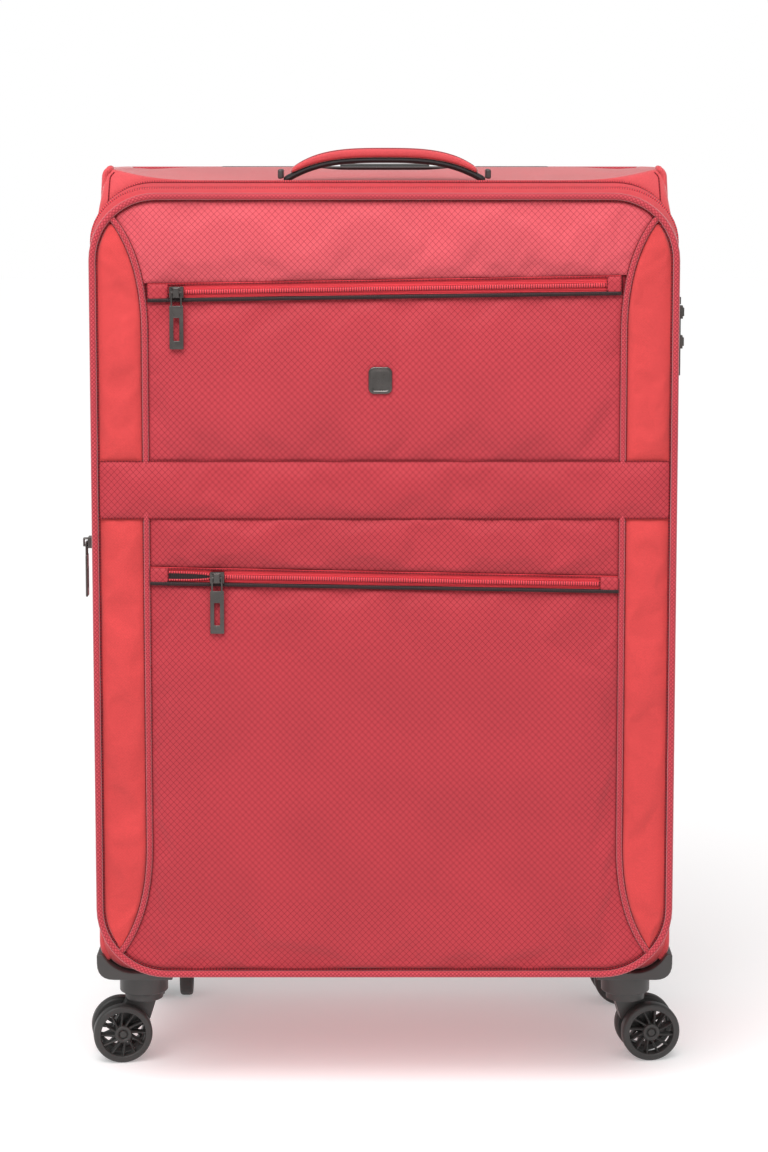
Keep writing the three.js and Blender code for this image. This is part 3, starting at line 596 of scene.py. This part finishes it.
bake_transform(bellows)

# ---- front cover
BOARD_EDGE = (LID_HALF - 2, LID_LOW[2] + 2, LID_HIGH[2] - 2, LID_R[0] - 2, LID_R[1] - 2)
shell_back = SHELL_HIGH[1]
half, low, high, *radii = FRAME_EDGE
FRAME_SHAPE = sloped(outline(half - 1.2, low + 1.2, high - 1.2, *radii)[0], front)
BOARD_SHAPE = outline(*BOARD_EDGE)[0]


def flare(share, grow):
    """Outline between the cover's front and the wider front part behind it."""
    shape = BOARD_SHAPE + (FRAME_SHAPE - BOARD_SHAPE) * share
    centre = np.array([0, (LID_LOW[2] + LID_HIGH[2]) / 2])
    return shape + np.sign(shape - centre) * grow * (abs(shape - centre) > 150)


band_rows = [
    ring(flare(share, grow), y) for share, grow, y in (
        (0.9, -5, shell_back + 1.2), (0.97, 0, shell_back + 1.2), (1, 0, shell_back), (1, 0, shell_back - 2),
        (0.8, 0, shell_back - 8), (0.45, 0, BASE + 8), (0.1, 0, BASE + 1),
    )
]
dress(grid("cover_band", band_rows, close_u=True), TAPE, "cover", "lid_shell", slot="zip_tape")
lining_rows = [(-7, shell_back + 0.5), (-8, shell_back - 3), (-9, BASE + 5)]
band("cover_lining_wall", BOARD_EDGE, lining_rows, LINING, "cover", slot="lining")


def disc(name, y, inset, material, body, wave=0.0):
    """A flat sheet that fills an outline."""
    edge = ring(grown(BOARD_EDGE, -inset, y)[0], y)
    centre = np.array([CX, y, (BOARD_EDGE[1] + BOARD_EDGE[2]) / 2])
    rows = np.array([centre + (edge - centre) * s for s in np.linspace(1, 0, 10)])
    rows[:, :, 1] += wave * np.sin(rows[:, :, 0] / 31) * np.sin(rows[:, :, 2] / 47)
    return dress(grid(name, rows, close_u=True, uv=upright_uv(rows)), material, body)


# the board behind the panels takes the dark seam colour: painted shade where it shows between them
disc("cover_board", BASE + 0.8, 1.5, SEAM, "cover")
disc("cover_lining", BASE + 4.6, 8.0, LINING, "cover", 0.8)
PIPING_Y = BASE - 3.0
outline_bead("lid_bead", LID_EDGE, -3.0, PIPING_Y, 2.9, 3.4, LATTICE_BEAD, "cover", "lid_piping", slot="piping")
outline_bead("lid_bead_seam", LID_EDGE, -6.6, BASE - 1.4, 0.7, 0.9, SEAM, "cover", slot="piping")

# seams of the cover, in x measured from its middle
FIELD_INSET = 7.4  # from the cover's edge to the foot of its piping
SEAM_IN = 2.2  # how far short of a seam's middle a panel ends
GORE_TOP = LID_HIGH[2] - GORE_DROP
GORE_BOTTOM = LID_LOW[2] + GORE_DROP
CURVE_T = np.linspace(0, 1, 60)
CURVE_X = SEAM_X + (GORE_TIP - SEAM_X) * CURVE_T**2
CURVE_Z = GORE_CURVE * ((1 - CURVE_T) ** 2 + 0.7 * CURVE_T * (1 - CURVE_T))  # distance from the tip


def seam_half(z):
    """Half width of the centre field at a height."""
    away = np.minimum(GORE_TOP - z, z - GORE_BOTTOM)
    return np.interp(-away, -CURVE_Z, CURVE_X)


def field_end(x, top):
    """Height at which the panels end at the piping, above or below."""
    radius = (LID_R[1] if top else LID_R[0]) - FIELD_INSET
    over = np.clip(abs(x) - (LID_HALF - FIELD_INSET - radius), 0, radius)
    drop = radius - np.sqrt(radius**2 - over**2)
    return LID_HIGH[2] - FIELD_INSET - drop if top else LID_LOW[2] + FIELD_INSET + drop


def field_side(z):
    """Half width at which the side panels end at the piping."""
    half = np.full(len(z), LID_HALF - FIELD_INSET)
    for radius, over in (
        (LID_R[1] - FIELD_INSET, z - (LID_HIGH[2] - LID_R[1])),
        (LID_R[0] - FIELD_INSET, LID_LOW[2] + LID_R[0] - z),
    ):
        over = np.clip(over, 0, radius)
        half -= radius - np.sqrt(radius**2 - over**2)
    return half


def leaning(node):
    """The lower and upper seam of a pocket zip, as functions of x."""
    mesh = frame["nodes"][node].data
    co = co_of(mesh) / MM
    left, right = co[:, 0].min(), co[:, 0].max()
    ends = []
    for pick in (np.min, np.max):
        z_left = pick(co[abs(co[:, 0] - left) < 0.5][:, 2])
        z_right = pick(co[abs(co[:, 0] - right) < 0.5][:, 2])
        slope = (z_right - z_left) / (right - left)
        ends.append(lambda x, z0=z_left, k=slope, x0=left - CX: z0 + k * (np.asarray(x) - x0))
    return ends[0], ends[1]


UPPER_LOW, UPPER_HIGH = leaning("upper_zip")
LOWER_LOW, LOWER_HIGH = leaning("lower_zip")
BAND_LOW, BAND_HIGH = box("middle_band")[0][2], box("middle_band")[1][2]
PANELS = []


def coons(bottom, top, left, right):
    """A patch of points between four edge curves that meet at their ends."""
    u = np.linspace(0, 1, len(bottom))[None, :, None]
    v = np.linspace(0, 1, len(left))[:, None, None]
    across = bottom[None] * (1 - v) + top[None] * v
    along = left[:, None] * (1 - u) + right[:, None] * u
    corners = (bottom[0] * (1 - u) + bottom[-1] * u) * (1 - v) + (top[0] * (1 - u) + top[-1] * u) * v
    return across + along - corners


def even(curve, n):
    """The same curve with n evenly spaced points."""
    along = lengths(curve, False)
    t = np.linspace(0, along[-1], n)
    return np.stack([np.interp(t, along, curve[:, k]) for k in (0, 1)], 1)


def panel(name, flat, height, material, node, rise, base=BASE - 0.8, hold=None):
    """A padded panel on a patch of (x, z) points, crowned towards the front; hold(z) flattens it."""
    u = np.linspace(-1, 1, flat.shape[1])[None, :]
    v = np.linspace(-1, 1, flat.shape[0])[:, None]
    crown = (1 - abs(u) ** rise[0]) ** 0.5 * (1 - abs(v) ** rise[1]) ** 0.5
    x, z = flat[:, :, 0], flat[:, :, 1]
    if hold is not None:
        crown = crown * hold(z)
    waves = 0.35 * np.sin(x / 17 + z / 41) * np.sin(z / 23) + 0.3 * np.sin(x / 9.0) * (1 - crown)
    y = base - height * crown + waves * np.clip(crown * 2, 0, 1)
    obj = grid(name, np.stack([x + CX, y, z], 2), uv=(x, z))
    slot = "coral_weave" if material is CORAL else "lattice_fabric"
    dress(obj, material, "cover", node, slot=slot)
    edge = crown < 0.02
    edge[[0, -1], :] = True
    edge[:, [0, -1]] = True
    pinned = obj.vertex_groups.new(name="seam")
    pinned.add(np.where(edge.ravel())[0].tolist(), 1.0, "REPLACE")
    PANELS.append(obj)
    return obj


def side_curve(z_from, z_to, side, n):
    """The centre field's side seam between two heights."""
    z = np.linspace(z_from, z_to, 200)
    return even(np.stack([side * (seam_half(z) - SEAM_IN), z], 1), n)


def curve_end(top):
    """Where the side seam meets the piping: half width and height."""
    start, end = (GORE_TOP - 60, GORE_TOP) if top else (GORE_BOTTOM + 60, GORE_BOTTOM)
    z = np.linspace(start, end, 400)
    gap = field_side(z) - seam_half(z) + SEAM_IN
    k = int(np.argmax(gap < 1.5))
    return seam_half(z[k : k + 1])[0] - SEAM_IN, z[k]


def piping_curve(top, n=121):
    """The foot of the cover's piping between the two side seams."""
    half, z_end = curve_end(top)
    x = half * np.sin(np.linspace(-math.pi / 2, math.pi / 2, 800))
    z = field_end(x, top)
    z[0] = z[-1] = z_end
    return even(np.stack([x, z], 1), n)


def seam_line(height, n=91):
    """A seam across the centre field, with its height given as a function of x."""
    x = np.linspace(-1, 1, n) * (SEAM_X - SEAM_IN)
    return np.stack(np.broadcast_arrays(x, height(x)), 1)


def field_patch(bottom, top, n):
    """The centre field between two seams across it, with n rows."""
    left, right = (side_curve(bottom[k][1], top[k][1], side, n) for k, side in ((0, -1), (-1, 1)))
    return coons(bottom, top, left, right)


TRIM = 1.2  # from the edge of a pocket's zip to the panel beside it
for name, node, bottom, top, rows, height, material, rise in (
    # the upper pad takes the slightly lighter lattice copy: painted light from above
    ("upper_pad", "upper_pocket", seam_line(lambda x: BAND_HIGH - 1), seam_line(lambda x: UPPER_LOW(x) - TRIM),
     34, 5.2, LATTICE_PAINTED_LIGHTER, (7, 2.2)),
    ("yoke_pad", "yoke_panel", seam_line(lambda x: LOWER_HIGH(x) + TRIM), seam_line(lambda x: BAND_LOW + 1),
     16, 4.4, LATTICE, (9, 3)),
    # the top pad takes the much lighter lattice copy: painted light from above
    ("top_pad", "top_panel", seam_line(lambda x: UPPER_HIGH(x) + TRIM, 121), piping_curve(True),
     22, 5.4, LATTICE_PAINTED_LIT, (12, 2.0)),
    ("lower_pad", "lower_pocket", piping_curve(False), seam_line(lambda x: LOWER_LOW(x) - TRIM, 121),
     84, 5.3, LATTICE, (8, 5)),
):
    panel(name, field_patch(bottom, top, rows), height, material, node, rise)


def under_band(z):
    """The side panels lie flat under the middle band and rise again on either side of it."""
    middle, half = (BAND_LOW + BAND_HIGH) / 2, (BAND_HIGH - BAND_LOW) / 2
    return np.clip((abs(z - middle) - half - 1) / 16, 0, 1) ** 0.5


def gore_panel(side, word):
    """The padded panel between the centre field's side seam and the piping."""
    z = np.linspace(GORE_BOTTOM + 3.5, GORE_TOP - 6.0, 150)
    inner = seam_half(z) + 2.8
    outer = np.maximum(field_side(z), inner + 0.8)
    near, far = (inner, outer) if side > 0 else (-outer, -inner)
    t = np.linspace(0, 1, 13)[None, :]
    x = near[:, None] * (1 - t) + far[:, None] * t
    flat = np.stack([x, np.tile(z[:, None], (1, 13))], 2)
    panel("side_pad_" + word, flat, 4.0, CORAL, "side_panel_" + word, (3, 30), hold=under_band)


for side, word in SIDES:
    gore_panel(side, word)

band_half = LID_HALF - FIELD_INSET
band_x = np.linspace(-band_half, band_half, 111)
t = np.linspace(0, 1, 13)[:, None]
band_z = BAND_LOW + (BAND_HIGH - BAND_LOW) * t
band_flat = np.stack(np.broadcast_arrays(band_x[None], band_z), 2)
panel("band_pad", band_flat, 3.4, LATTICE, "middle_band", (24, 3), base=BASE - 3.0)
for k, z in enumerate((BAND_LOW, BAND_HIGH)):
    thread(f"band_seam_{k}", curve(band_x, BASE - 3.2, z), 0.6, 0.5)


def gore_seam(side, word):
    """The flat piping between a side panel and the centre field, and its two seam lines."""
    z = np.linspace(GORE_BOTTOM + 1, GORE_TOP - 1, 150)
    x = seam_half(z)
    for name, shift, ra, rb, y, material in (
        ("gore_piping_", 0.0, 1.9, 2.3, BASE - 2.4, LATTICE_BEAD),
        ("gore_seam_in_", -2.8, 0.6, 0.6, BASE - 1.8, SEAM),
        ("gore_seam_out_", 2.8, 0.6, 0.6, BASE - 1.8, SEAM),
    ):
        thread(name + word, curve(side * (x + shift), y, z), ra, rb, material=material)


for side, word in SIDES:
    gore_seam(side, word)


# ---- pocket zips
def zip_strip(name, low, high, half, y):
    """The tape of a pocket's zip, bulging a little between its seams."""
    x = np.tile(np.linspace(-half, half, 60), (7, 1))
    t = np.linspace(0, 1, 7)[:, None]
    z = low(x) * (1 - t) + high(x) * t
    depth = y - 0.6 * (1 - (2 * t - 1) ** 2) + 0 * z
    strip = grid(name, np.stack([x + CX, depth, z], 2), uv=(x, z))
    return dress(strip, TAPE, "cover", slot="zip_tape")


def pocket_zip(word, low, high, open_to):
    """Tape, teeth, piping, end tabs and seams of a pocket's zip, which is open as far as open_to."""
    node = box(word + "_zip")
    x0, x1 = node[0][0] - CX, node[1][0] - CX
    zip_y = node[0][1]
    half = SEAM_X - 3
    strip = zip_strip(word + "_tape", lambda x: low(x) - 1, lambda x: high(x) + 1, half, zip_y + 1.4)
    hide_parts(word + "_zip")
    x = np.linspace(open_to, x1, 120)
    path = curve(x, zip_y + 0.3, (low(x) + high(x)) / 2)
    thread(word + "_teeth", path, 1.0, 1.8, material=COIL, slot="zip_tape")
    x = np.linspace(-half, half, 120)
    for name, z, ra, rb, y, material in (
        ("_dark_piping", low(x) + 0.2, 2.0, 1.7, zip_y - 0.6, DARK_PIPING),
        ("_top_seam", high(x) - 0.2, 0.6, 0.6, zip_y + 0.2, SEAM),
    ):
        thread(word + name, curve(x, y, z), ra, rb, material=material, slot="zip_tape")
    # the left tab ends where the slider stops
    reach = box(word + "_zip_slider")[0][0] - CX + JOINTS[word + "_zip_slide"]["range_m"][0] / MM
    for end, a, b in (("left", -SEAM_X + 2.6, reach - 1.0), ("right", x1 + 0.5, SEAM_X - 2.6)):
        xs = np.linspace(a, b, 12)
        A, B = np.stack([xs, low(xs) - 0.2], 1), np.stack([xs, high(xs) + 0.2], 1)
        t = np.linspace(0, 1, 8)[:, None, None]
        flat = A[None] * (1 - t) + B[None] * t
        u, v = np.linspace(-1, 1, 12)[None], np.linspace(-1, 1, 8)[:, None]
        y = zip_y - 0.2 - 1.7 * (1 - u**6) ** 0.5 * (1 - v**6) ** 0.5
        x, z = flat[:, :, 0], flat[:, :, 1]
        tab = grid(f"{word}_tab_{end}", np.stack([x + CX, y, z], 2), uv=(x, z))
        dress(tab, LATTICE, "cover", slot="lattice_fabric")
        for k, sx in enumerate((a + 0.4, b - 0.4)):
            zs = np.linspace(float(low(sx)) + 0.5, float(high(sx)) - 0.5, 8)
            thread(f"{word}_tab_{end}_seam_{k}", curve(sx, zip_y - 0.5, zs))
    if open_to > x0 + 1:
        t = np.linspace(0, 1, 30)
        xs = x0 + (open_to - x0) * t
        middle = (low(xs) + high(xs)) / 2
        gap = 2.6 * np.sqrt(np.clip(1 - t**3, 0, 1))
        rows = [curve(xs, zip_y + 0.2, middle + s * gap) for s in np.linspace(-1, 1, 5)]
        # the opening between the parted tapes is a near-black sheet: painted shade inside the pocket
        dress(grid(word + "_gap", rows), DARK_PIPING, "cover", slot="lining")
        for k, s in enumerate((-1, 1)):
            edge = curve(xs, zip_y + 0.6, middle + s * (gap + 0.7))
            thread(f"{word}_open_edge_{k}", edge, 0.8, 1.0, material=COIL, slot="zip_tape")


slider_low, slider_high = box("lower_zip_slider")
pocket_zip("upper", UPPER_LOW, UPPER_HIGH, box("upper_zip")[0][0] - CX)
pocket_zip("lower", LOWER_LOW, LOWER_HIGH, (slider_low[0] + slider_high[0]) / 2 - CX - 5)


# ---- cloth settling of the padded panels
def settle(panels, frames=18, cap=1.5):
    """Lets the padded panels swell and wrinkle a little between their pinned seams."""
    for obj in panels:
        cloth = obj.modifiers.new("Cloth", "CLOTH")
        s = cloth.settings
        s.quality = 5
        s.mass = 0.25
        s.tension_stiffness = s.compression_stiffness = 12
        s.shear_stiffness = 6
        s.bending_stiffness = 0.6
        s.vertex_group_mass = "seam"
        s.pin_stiffness = 50
        s.use_pressure = True
        s.uniform_pressure_force = 0.8
        s.shrink_min = -0.012
        s.effector_weights.gravity = 0
        cloth.collision_settings.use_collision = False
        cloth.point_cache.frame_start = 1
        cloth.point_cache.frame_end = frames
    scene = bpy.context.scene
    for step in range(1, frames + 1):
        scene.frame_set(step)
    graph = bpy.context.evaluated_depsgraph_get()
    results = [co_of(obj.evaluated_get(graph).data) for obj in panels]
    for obj, made in zip(panels, results):
        obj.modifiers.remove(obj.modifiers["Cloth"])
        start = co_of(obj.data)
        move = made - start
        size = np.linalg.norm(move, axis=1)
        move *= (np.minimum(size, cap * MM) / np.maximum(size, 1e-9))[:, None]
        move_to(obj.data, start + move)
    scene.frame_set(1)


def press(obj, node, margin=10.0, gap_behind=0.3, rise=2.5):
    """Presses a panel in behind a piece that sits on it, and lets it rise again over a margin."""
    low, high = box(node)
    co = co_of(obj.data) / MM
    gap = np.linalg.norm(np.maximum(np.maximum(low - co, co - high), 0)[:, [0, 2]], axis=1)
    floor_y = high[1] + gap_behind - rise * np.clip(gap / margin, 0, 1) ** 2
    co[:, 1] = np.where(gap < margin, np.maximum(co[:, 1], floor_y), co[:, 1])
    move_to(obj.data, co * MM)


settle(PANELS)
press(bpy.data.objects["upper_pad"], "badge")
for padded_panel in PANELS:
    subdivide(padded_panel)


# ---- carry handle
def handle_loft(name, half, bottom, top, y_half, material, node, slot, ends=0.25):
    """A strip that follows the arch of the handle: bottom and top are heights as functions of x."""
    xs = np.concatenate([[-half], np.linspace(-half + 0.8, half - 0.8, 61), [half]])
    rows = []
    a = np.linspace(0, 2 * math.pi, 20, endpoint=False)
    ca = np.sign(np.cos(a)) * abs(np.cos(a)) ** 0.45
    sa = np.sign(np.sin(a)) * abs(np.sin(a)) ** 0.6
    for i, x in enumerate(xs):
        tight = ends if i in (0, len(xs) - 1) else 1.0
        low, high = bottom(x), top(x)
        mid, reach = (low + high) / 2, (high - low) / 2
        rows.append(curve(x, handle_y + ca * y_half * tight, mid + sa * reach * tight))
    P = np.array(rows).transpose(1, 0, 2)
    obj = grid(name, P, close_v=True)
    return dress(obj, material, "carry_handle", node, slot=slot, level=1)


strap_low, strap_high = box("top_handle_strap")
pad_low, pad_high = box("top_handle_pad")
handle_y = (pad_low[1] + pad_high[1]) / 2
pad_half = (pad_high[0] - pad_low[0]) / 2
strap_half = (strap_high[0] - strap_low[0]) / 2 + 0.8
end_z = pad_low[2] - 6.5  # underside at the strap's ends
middle_z = pad_high[2] - 7.6  # and at its middle
PAD_THICK, PAD_THINNING = 8.2, 4.0


def arch(x):
    """Underside of the pad."""
    share = np.abs(x) / strap_half
    return end_z + (middle_z - end_z) * (1 - share**3)


def pad_top(x):
    """Top of the pad, thinner towards its ends."""
    return arch(x) + PAD_THICK - PAD_THINNING * (abs(x) / pad_half) ** 6


pad = handle_loft(
    "handle_padding", pad_half, lambda x: arch(x) - 0.6, pad_top,
    (pad_high[1] - pad_low[1]) / 2, BODY_WEAVE, "top_handle_pad", "lattice_fabric",
)
handle_loft(
    "handle_underside", strap_half, lambda x: arch(x) - 4.8 - 1.8 * (abs(x) / strap_half) ** 4,
    lambda x: arch(x) + 0.4, (strap_high[1] - strap_low[1]) / 2, WEBBING, "top_handle_strap", "webbing", 0.8,
)
for side, word in SIDES:
    x = side * (strap_half - 1.6)
    path = curve(x, handle_y, np.linspace(strap_low[2], arch(x) - 2, 12))
    leg = tube("handle_webbing_" + word, path, (0, 1, 0), 9.5, 1.3, power=0.4, sides=16)
    dress(leg, WEBBING, "carry_handle", slot="webbing")
for k, y in enumerate((pad_low[1] + 2.5, pad_high[1] - 2.5)):
    xs = np.linspace(-pad_half + 4, pad_half - 4, 50)
    thread(f"handle_stitch_{k}", curve(xs, y, pad_top(xs) - 0.8), 0.5, 0.5, (0, 0, 1), body="carry_handle")


# ---- moulded and metal pieces
def refined(node, material, bevel, angle=32, segments=2):
    """The CAD piece with its facets merged and its edges rounded."""
    mesh = frame["nodes"][node].data.copy()
    work = bmesh.new()
    work.from_mesh(mesh)
    bmesh.ops.remove_doubles(work, verts=work.verts, dist=1e-6)
    bmesh.ops.dissolve_limit(work, angle_limit=math.radians(0.6), verts=work.verts, edges=work.edges)
    work.to_mesh(mesh)
    work.free()
    mesh.shade_smooth()
    obj = placed(node + "_moulded", mesh)
    rounding = obj.modifiers.new("Rounding", "BEVEL")
    rounding.width = bevel * MM
    rounding.segments = segments
    rounding.limit_method = "ANGLE"
    rounding.angle_limit = math.radians(angle)
    rounding.harden_normals = False
    shading = obj.modifiers.new("Shading", "WEIGHTED_NORMAL")
    shading.keep_sharp = True
    slot = next(p["material_slot"] for p in RECORD["subparts"] if p["node"] == node)
    return dress(obj, material, BODY_OF[node], node, slot=slot)


for node, material, bevel in (
    ("trolley_bezel", PLASTIC, 0.6), ("trolley_grip", PLASTIC, 4.0), ("trolley_button", PLASTIC, 1.2),
    ("handle_end_cap_left", PLASTIC, 1.4), ("handle_end_cap_right", PLASTIC, 1.4),
    ("lock_case", PLASTIC, 0.7), ("lock_button", GUNMETAL, 0.5),
    ("main_zip_slider_upper", GUNMETAL, 0.6), ("main_zip_slider_lower", GUNMETAL, 0.6),
    ("trolley_cover", LINING, 1.0),
):
    refined(node, material, bevel)
for i in (1, 2, 3):
    refined(f"lock_dial_{i}", GUNMETAL, 0.4)
for word in ("upper_zip", "lower_zip", "expansion_zip"):
    refined(word + "_slider", GUNMETAL, 0.9)
    refined(word + "_puller", GUNMETAL, 0.45)


def badge_plate():
    """A small rounded plate with a raised rim round a plain sunk face."""
    low, high = box("badge")
    middle, half, tall = (low + high) / 2, (high[0] - low[0]) / 2, (high[2] - low[2]) / 2
    front, back = low[1], high[1]
    rows = []
    for inset, y in (
        (0.1, back), (0, front + 0.8), (0.2, front + 0.2), (0.8, front), (1.7, front), (2.1, front + 0.05),
        (2.3, front + 0.25), (4.0, front + 0.3),
    ):
        r = max(4.6 - inset * 0.7, 0.6)
        shape = outline(half - inset, -tall + inset, tall - inset, r, r, 6, 4, 4)[0]
        rows.append(ring(shape, y))
    P = np.array(rows)
    P[:, :, 0] += middle[0] - CX
    P[:, :, 2] += middle[2]
    centre = np.array([middle[0], front + 0.3, middle[2]])
    P = np.concatenate([P, [centre + (P[-1] - centre) * share for share in (0.7, 0.35, 0.0)]])
    dress(grid("badge_plate", P, close_u=True), GUNMETAL, "cover", "badge", slot="gunmetal")


badge_plate()
CORNERS = ("front_left", "front_right", "rear_left", "rear_right")
for corner in CORNERS:
    refined("corner_guard_" + corner, HOUSING, 1.8, 40, 3)
    refined("caster_fork_" + corner, HOUSING, 0.8, 40)
for side in ("left", "right"):
    for layer in ("outer", "inner"):
        tube_node = frame["nodes"][f"trolley_{layer}_tube_{side}"]
        tube_node.data.materials.clear()
        tube_node.data.materials.append(ALUMINIUM)


# ---- wheels
def wheel_mesh(radius, width):
    """A moulded wheel about the Y axis: rounded tyre, rim lip, curved spokes and a hub cap."""
    verts, faces = [], []

    def lathe(half_profile, steps):
        """Turns a profile of radii and depths below the wheel's face, mirrored for the other face."""
        start = len(verts)
        profile = [(r, d - w) for r, d in half_profile] + [(r, w - d) for r, d in reversed(half_profile)]
        for angle in np.linspace(0, 2 * math.pi, steps, endpoint=False):
            verts.extend((r * math.cos(angle), y, r * math.sin(angle)) for r, y in profile)
        n = len(profile)
        for i in range(steps):
            j = (i + 1) % steps
            for k in range(n):
                m = (k + 1) % n
                faces.append((start + i * n + k, start + i * n + m, start + j * n + m, start + j * n + k))

    w = width / 2
    tyre = [
        (19.6, 1.6), (20.2, 0.6), (21.2, 0.3), (22.2, 0.8),
        (23.2, 0.2), (24.6, 0.5), (25.6, 1.7), (radius, 3.4),
    ]
    lathe(tyre, 64)
    lathe([(3.3, 1.2), (6.2, 0.6), (7.2, 0.9), (7.7, 2.0)], 40)  # hub
    lathe([(0.01, 0.9), (2.6, 0.5), (3.35, 1.3)], 24)  # hub cap
    spokes, inner, outer = 12, 7.0, 20.2
    stations = np.linspace(inner, outer, 7)
    for s in range(spokes):
        start = len(verts)
        for r in stations:
            t = (r - inner) / (outer - inner)
            angle = 2 * math.pi * s / spokes + 0.32 * t * (1 - 0.4 * t)
            thick = (1.15 - 0.35 * math.sin(math.pi * t)) / r
            for da, y in ((-thick, -w + 2.4), (thick, -w + 2.4), (thick, w - 2.4), (-thick, w - 2.4)):
                verts.append((r * math.cos(angle + da), y, r * math.sin(angle + da)))
        for i in range(len(stations) - 1):
            for k in range(4):
                a, b = start + 4 * i + k, start + 4 * i + (k + 1) % 4
                faces.append((a, b, b + 4, a + 4))
    mesh = smooth_mesh("wheel", verts, faces)
    mesh.materials.append(TYRE)
    return mesh


WHEEL_SPINS = {j["child"]: j for name, j in JOINTS.items() if name.endswith("_spin")}
WHEEL = None
for corner in CORNERS:
    for side in "ab":
        node = f"wheel_{corner}_{side}"
        spin = WHEEL_SPINS[BODY_OF[node]]
        low, high = box(node)
        if WHEEL is None:
            WHEEL = wheel_mesh((high[2] - low[2]) / 2, 12.5)
        axis = Vector(spin["axis"])
        turn = Matrix.Rotation(math.atan2(-axis.x, axis.y), 4, "Z")
        rolled = Matrix.Rotation(0.7 * len(corner), 4, "Y")
        mesh = WHEEL.copy()
        mesh.transform(Matrix.Translation(Vector((low + high) / 2 * MM)) @ turn @ rolled)
        obj = placed(node + "_moulded", mesh)
        obj.modifiers.new("Shading", "WEIGHTED_NORMAL")
        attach(obj, BODY_OF[node])
        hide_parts(node)

# ---- hinge tape of the cover
hinge_x, hinge_y = np.array(JOINTS["cover_hinge"]["pos_m"][:2]) / MM
tape_z = np.linspace(LID_LOW[2] + 95, LID_HIGH[2] - 95, 40)
tape_rows = [curve(hinge_x - CX + 1.2 + 0.25 * abs(y), hinge_y + y, tape_z) for y in np.linspace(-7, 7, 15)]
hinge_tape = dress(grid("cover_hinge_tape", tape_rows), TAPE, None, slot="zip_tape")
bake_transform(hinge_tape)

# ---- stage
floor_mesh = bpy.data.meshes.new("floor")
FLOOR_HALF = 14.0  # metres
corners = [(x * FLOOR_HALF, y * FLOOR_HALF, 0) for x, y in ((-1, -1), (1, -1), (1, 1), (-1, 1))]
floor_mesh.from_pydata(corners, [], [(0, 1, 2, 3)])
floor = placed("floor", floor_mesh)
ground = Shader("floor_white", 0.9, specular=0.1)
ground_color = ground.mix(ground.noise(2.0), rgb(228, 227, 227), rgb(225, 224, 224))
floor.data.materials.append(ground.finish(ground_color))
ground.bsdf.inputs["Emission Color"].default_value = (1, 1, 1, 1)
ground.bsdf.inputs["Emission Strength"].default_value = 0.3

scene = bpy.context.scene
world = bpy.data.worlds.new("studio")
world.use_nodes = True
world_nodes, world_links = world.node_tree.nodes, world.node_tree.links
seen = world_nodes.new("ShaderNodeLightPath").outputs["Is Camera Ray"]
glow = world_nodes.new("ShaderNodeMapRange")
glow.inputs["To Min"].default_value = 0.44  # light that the studio gives from all round
glow.inputs["To Max"].default_value = 1.0  # white background
world_links.new(seen, glow.inputs["Value"])
world_links.new(glow.outputs[0], world_nodes["Background"].inputs["Strength"])
world_nodes["Background"].inputs["Color"].default_value = (1, 1, 1, 1)
scene.world = world
scene.view_settings.view_transform = "Standard"
scene.view_settings.look = "None"


def area_light(name, place, aim, size, power):
    """A rectangular light, with lengths in metres and its power in watts."""
    data = bpy.data.lights.new(name, "AREA")
    data.shape = "RECTANGLE"
    data.size, data.size_y = size
    data.energy = power
    light = placed(name, data)
    light.location = place
    light.rotation_euler = (Vector(aim) - Vector(place)).to_track_quat("-Z", "Y").to_euler()


sky = bpy.data.lights.new("sky", "SUN")
sky.energy = 1.9
sky.angle = math.radians(55)
placed("sky", sky).rotation_euler = (math.radians(33), math.radians(-10), 0)
area_light("key", (-1.0, -2.2, 2.4), (0, 0, 0.5), (1.6, 1.2), 10)
area_light("top", (-0.15, -1.0, 1.8), (0, -0.15, 0.6), (1.5, 0.8), 13)
area_light("fill", (2.2, -2.6, 1.5), (0, 0, 0.4), (2.0, 2.0), 5)

IMAGE_WIDTH, IMAGE_HEIGHT = 768, 1152
FOCAL = 2814
CENTRE = (389.0, 472.9)
SENSOR = 36
TILT_DOWN = 6.76  # degrees
camera_data = bpy.data.cameras.new("camera")
camera = placed("camera", camera_data)
camera_data.sensor_width = SENSOR
camera_data.lens = FOCAL * SENSOR / IMAGE_HEIGHT
camera_data.shift_x = (IMAGE_WIDTH / 2 - CENTRE[0]) / IMAGE_HEIGHT
camera_data.shift_y = (CENTRE[1] - IMAGE_HEIGHT / 2) / IMAGE_HEIGHT
camera_data.clip_end = 60
camera.location = (CX * MM + 0.0039, LID_LOW[1] * MM - 2.328, 0.8117)
camera.rotation_euler = (math.radians(90 - TILT_DOWN), 0, 0)
scene.camera = camera
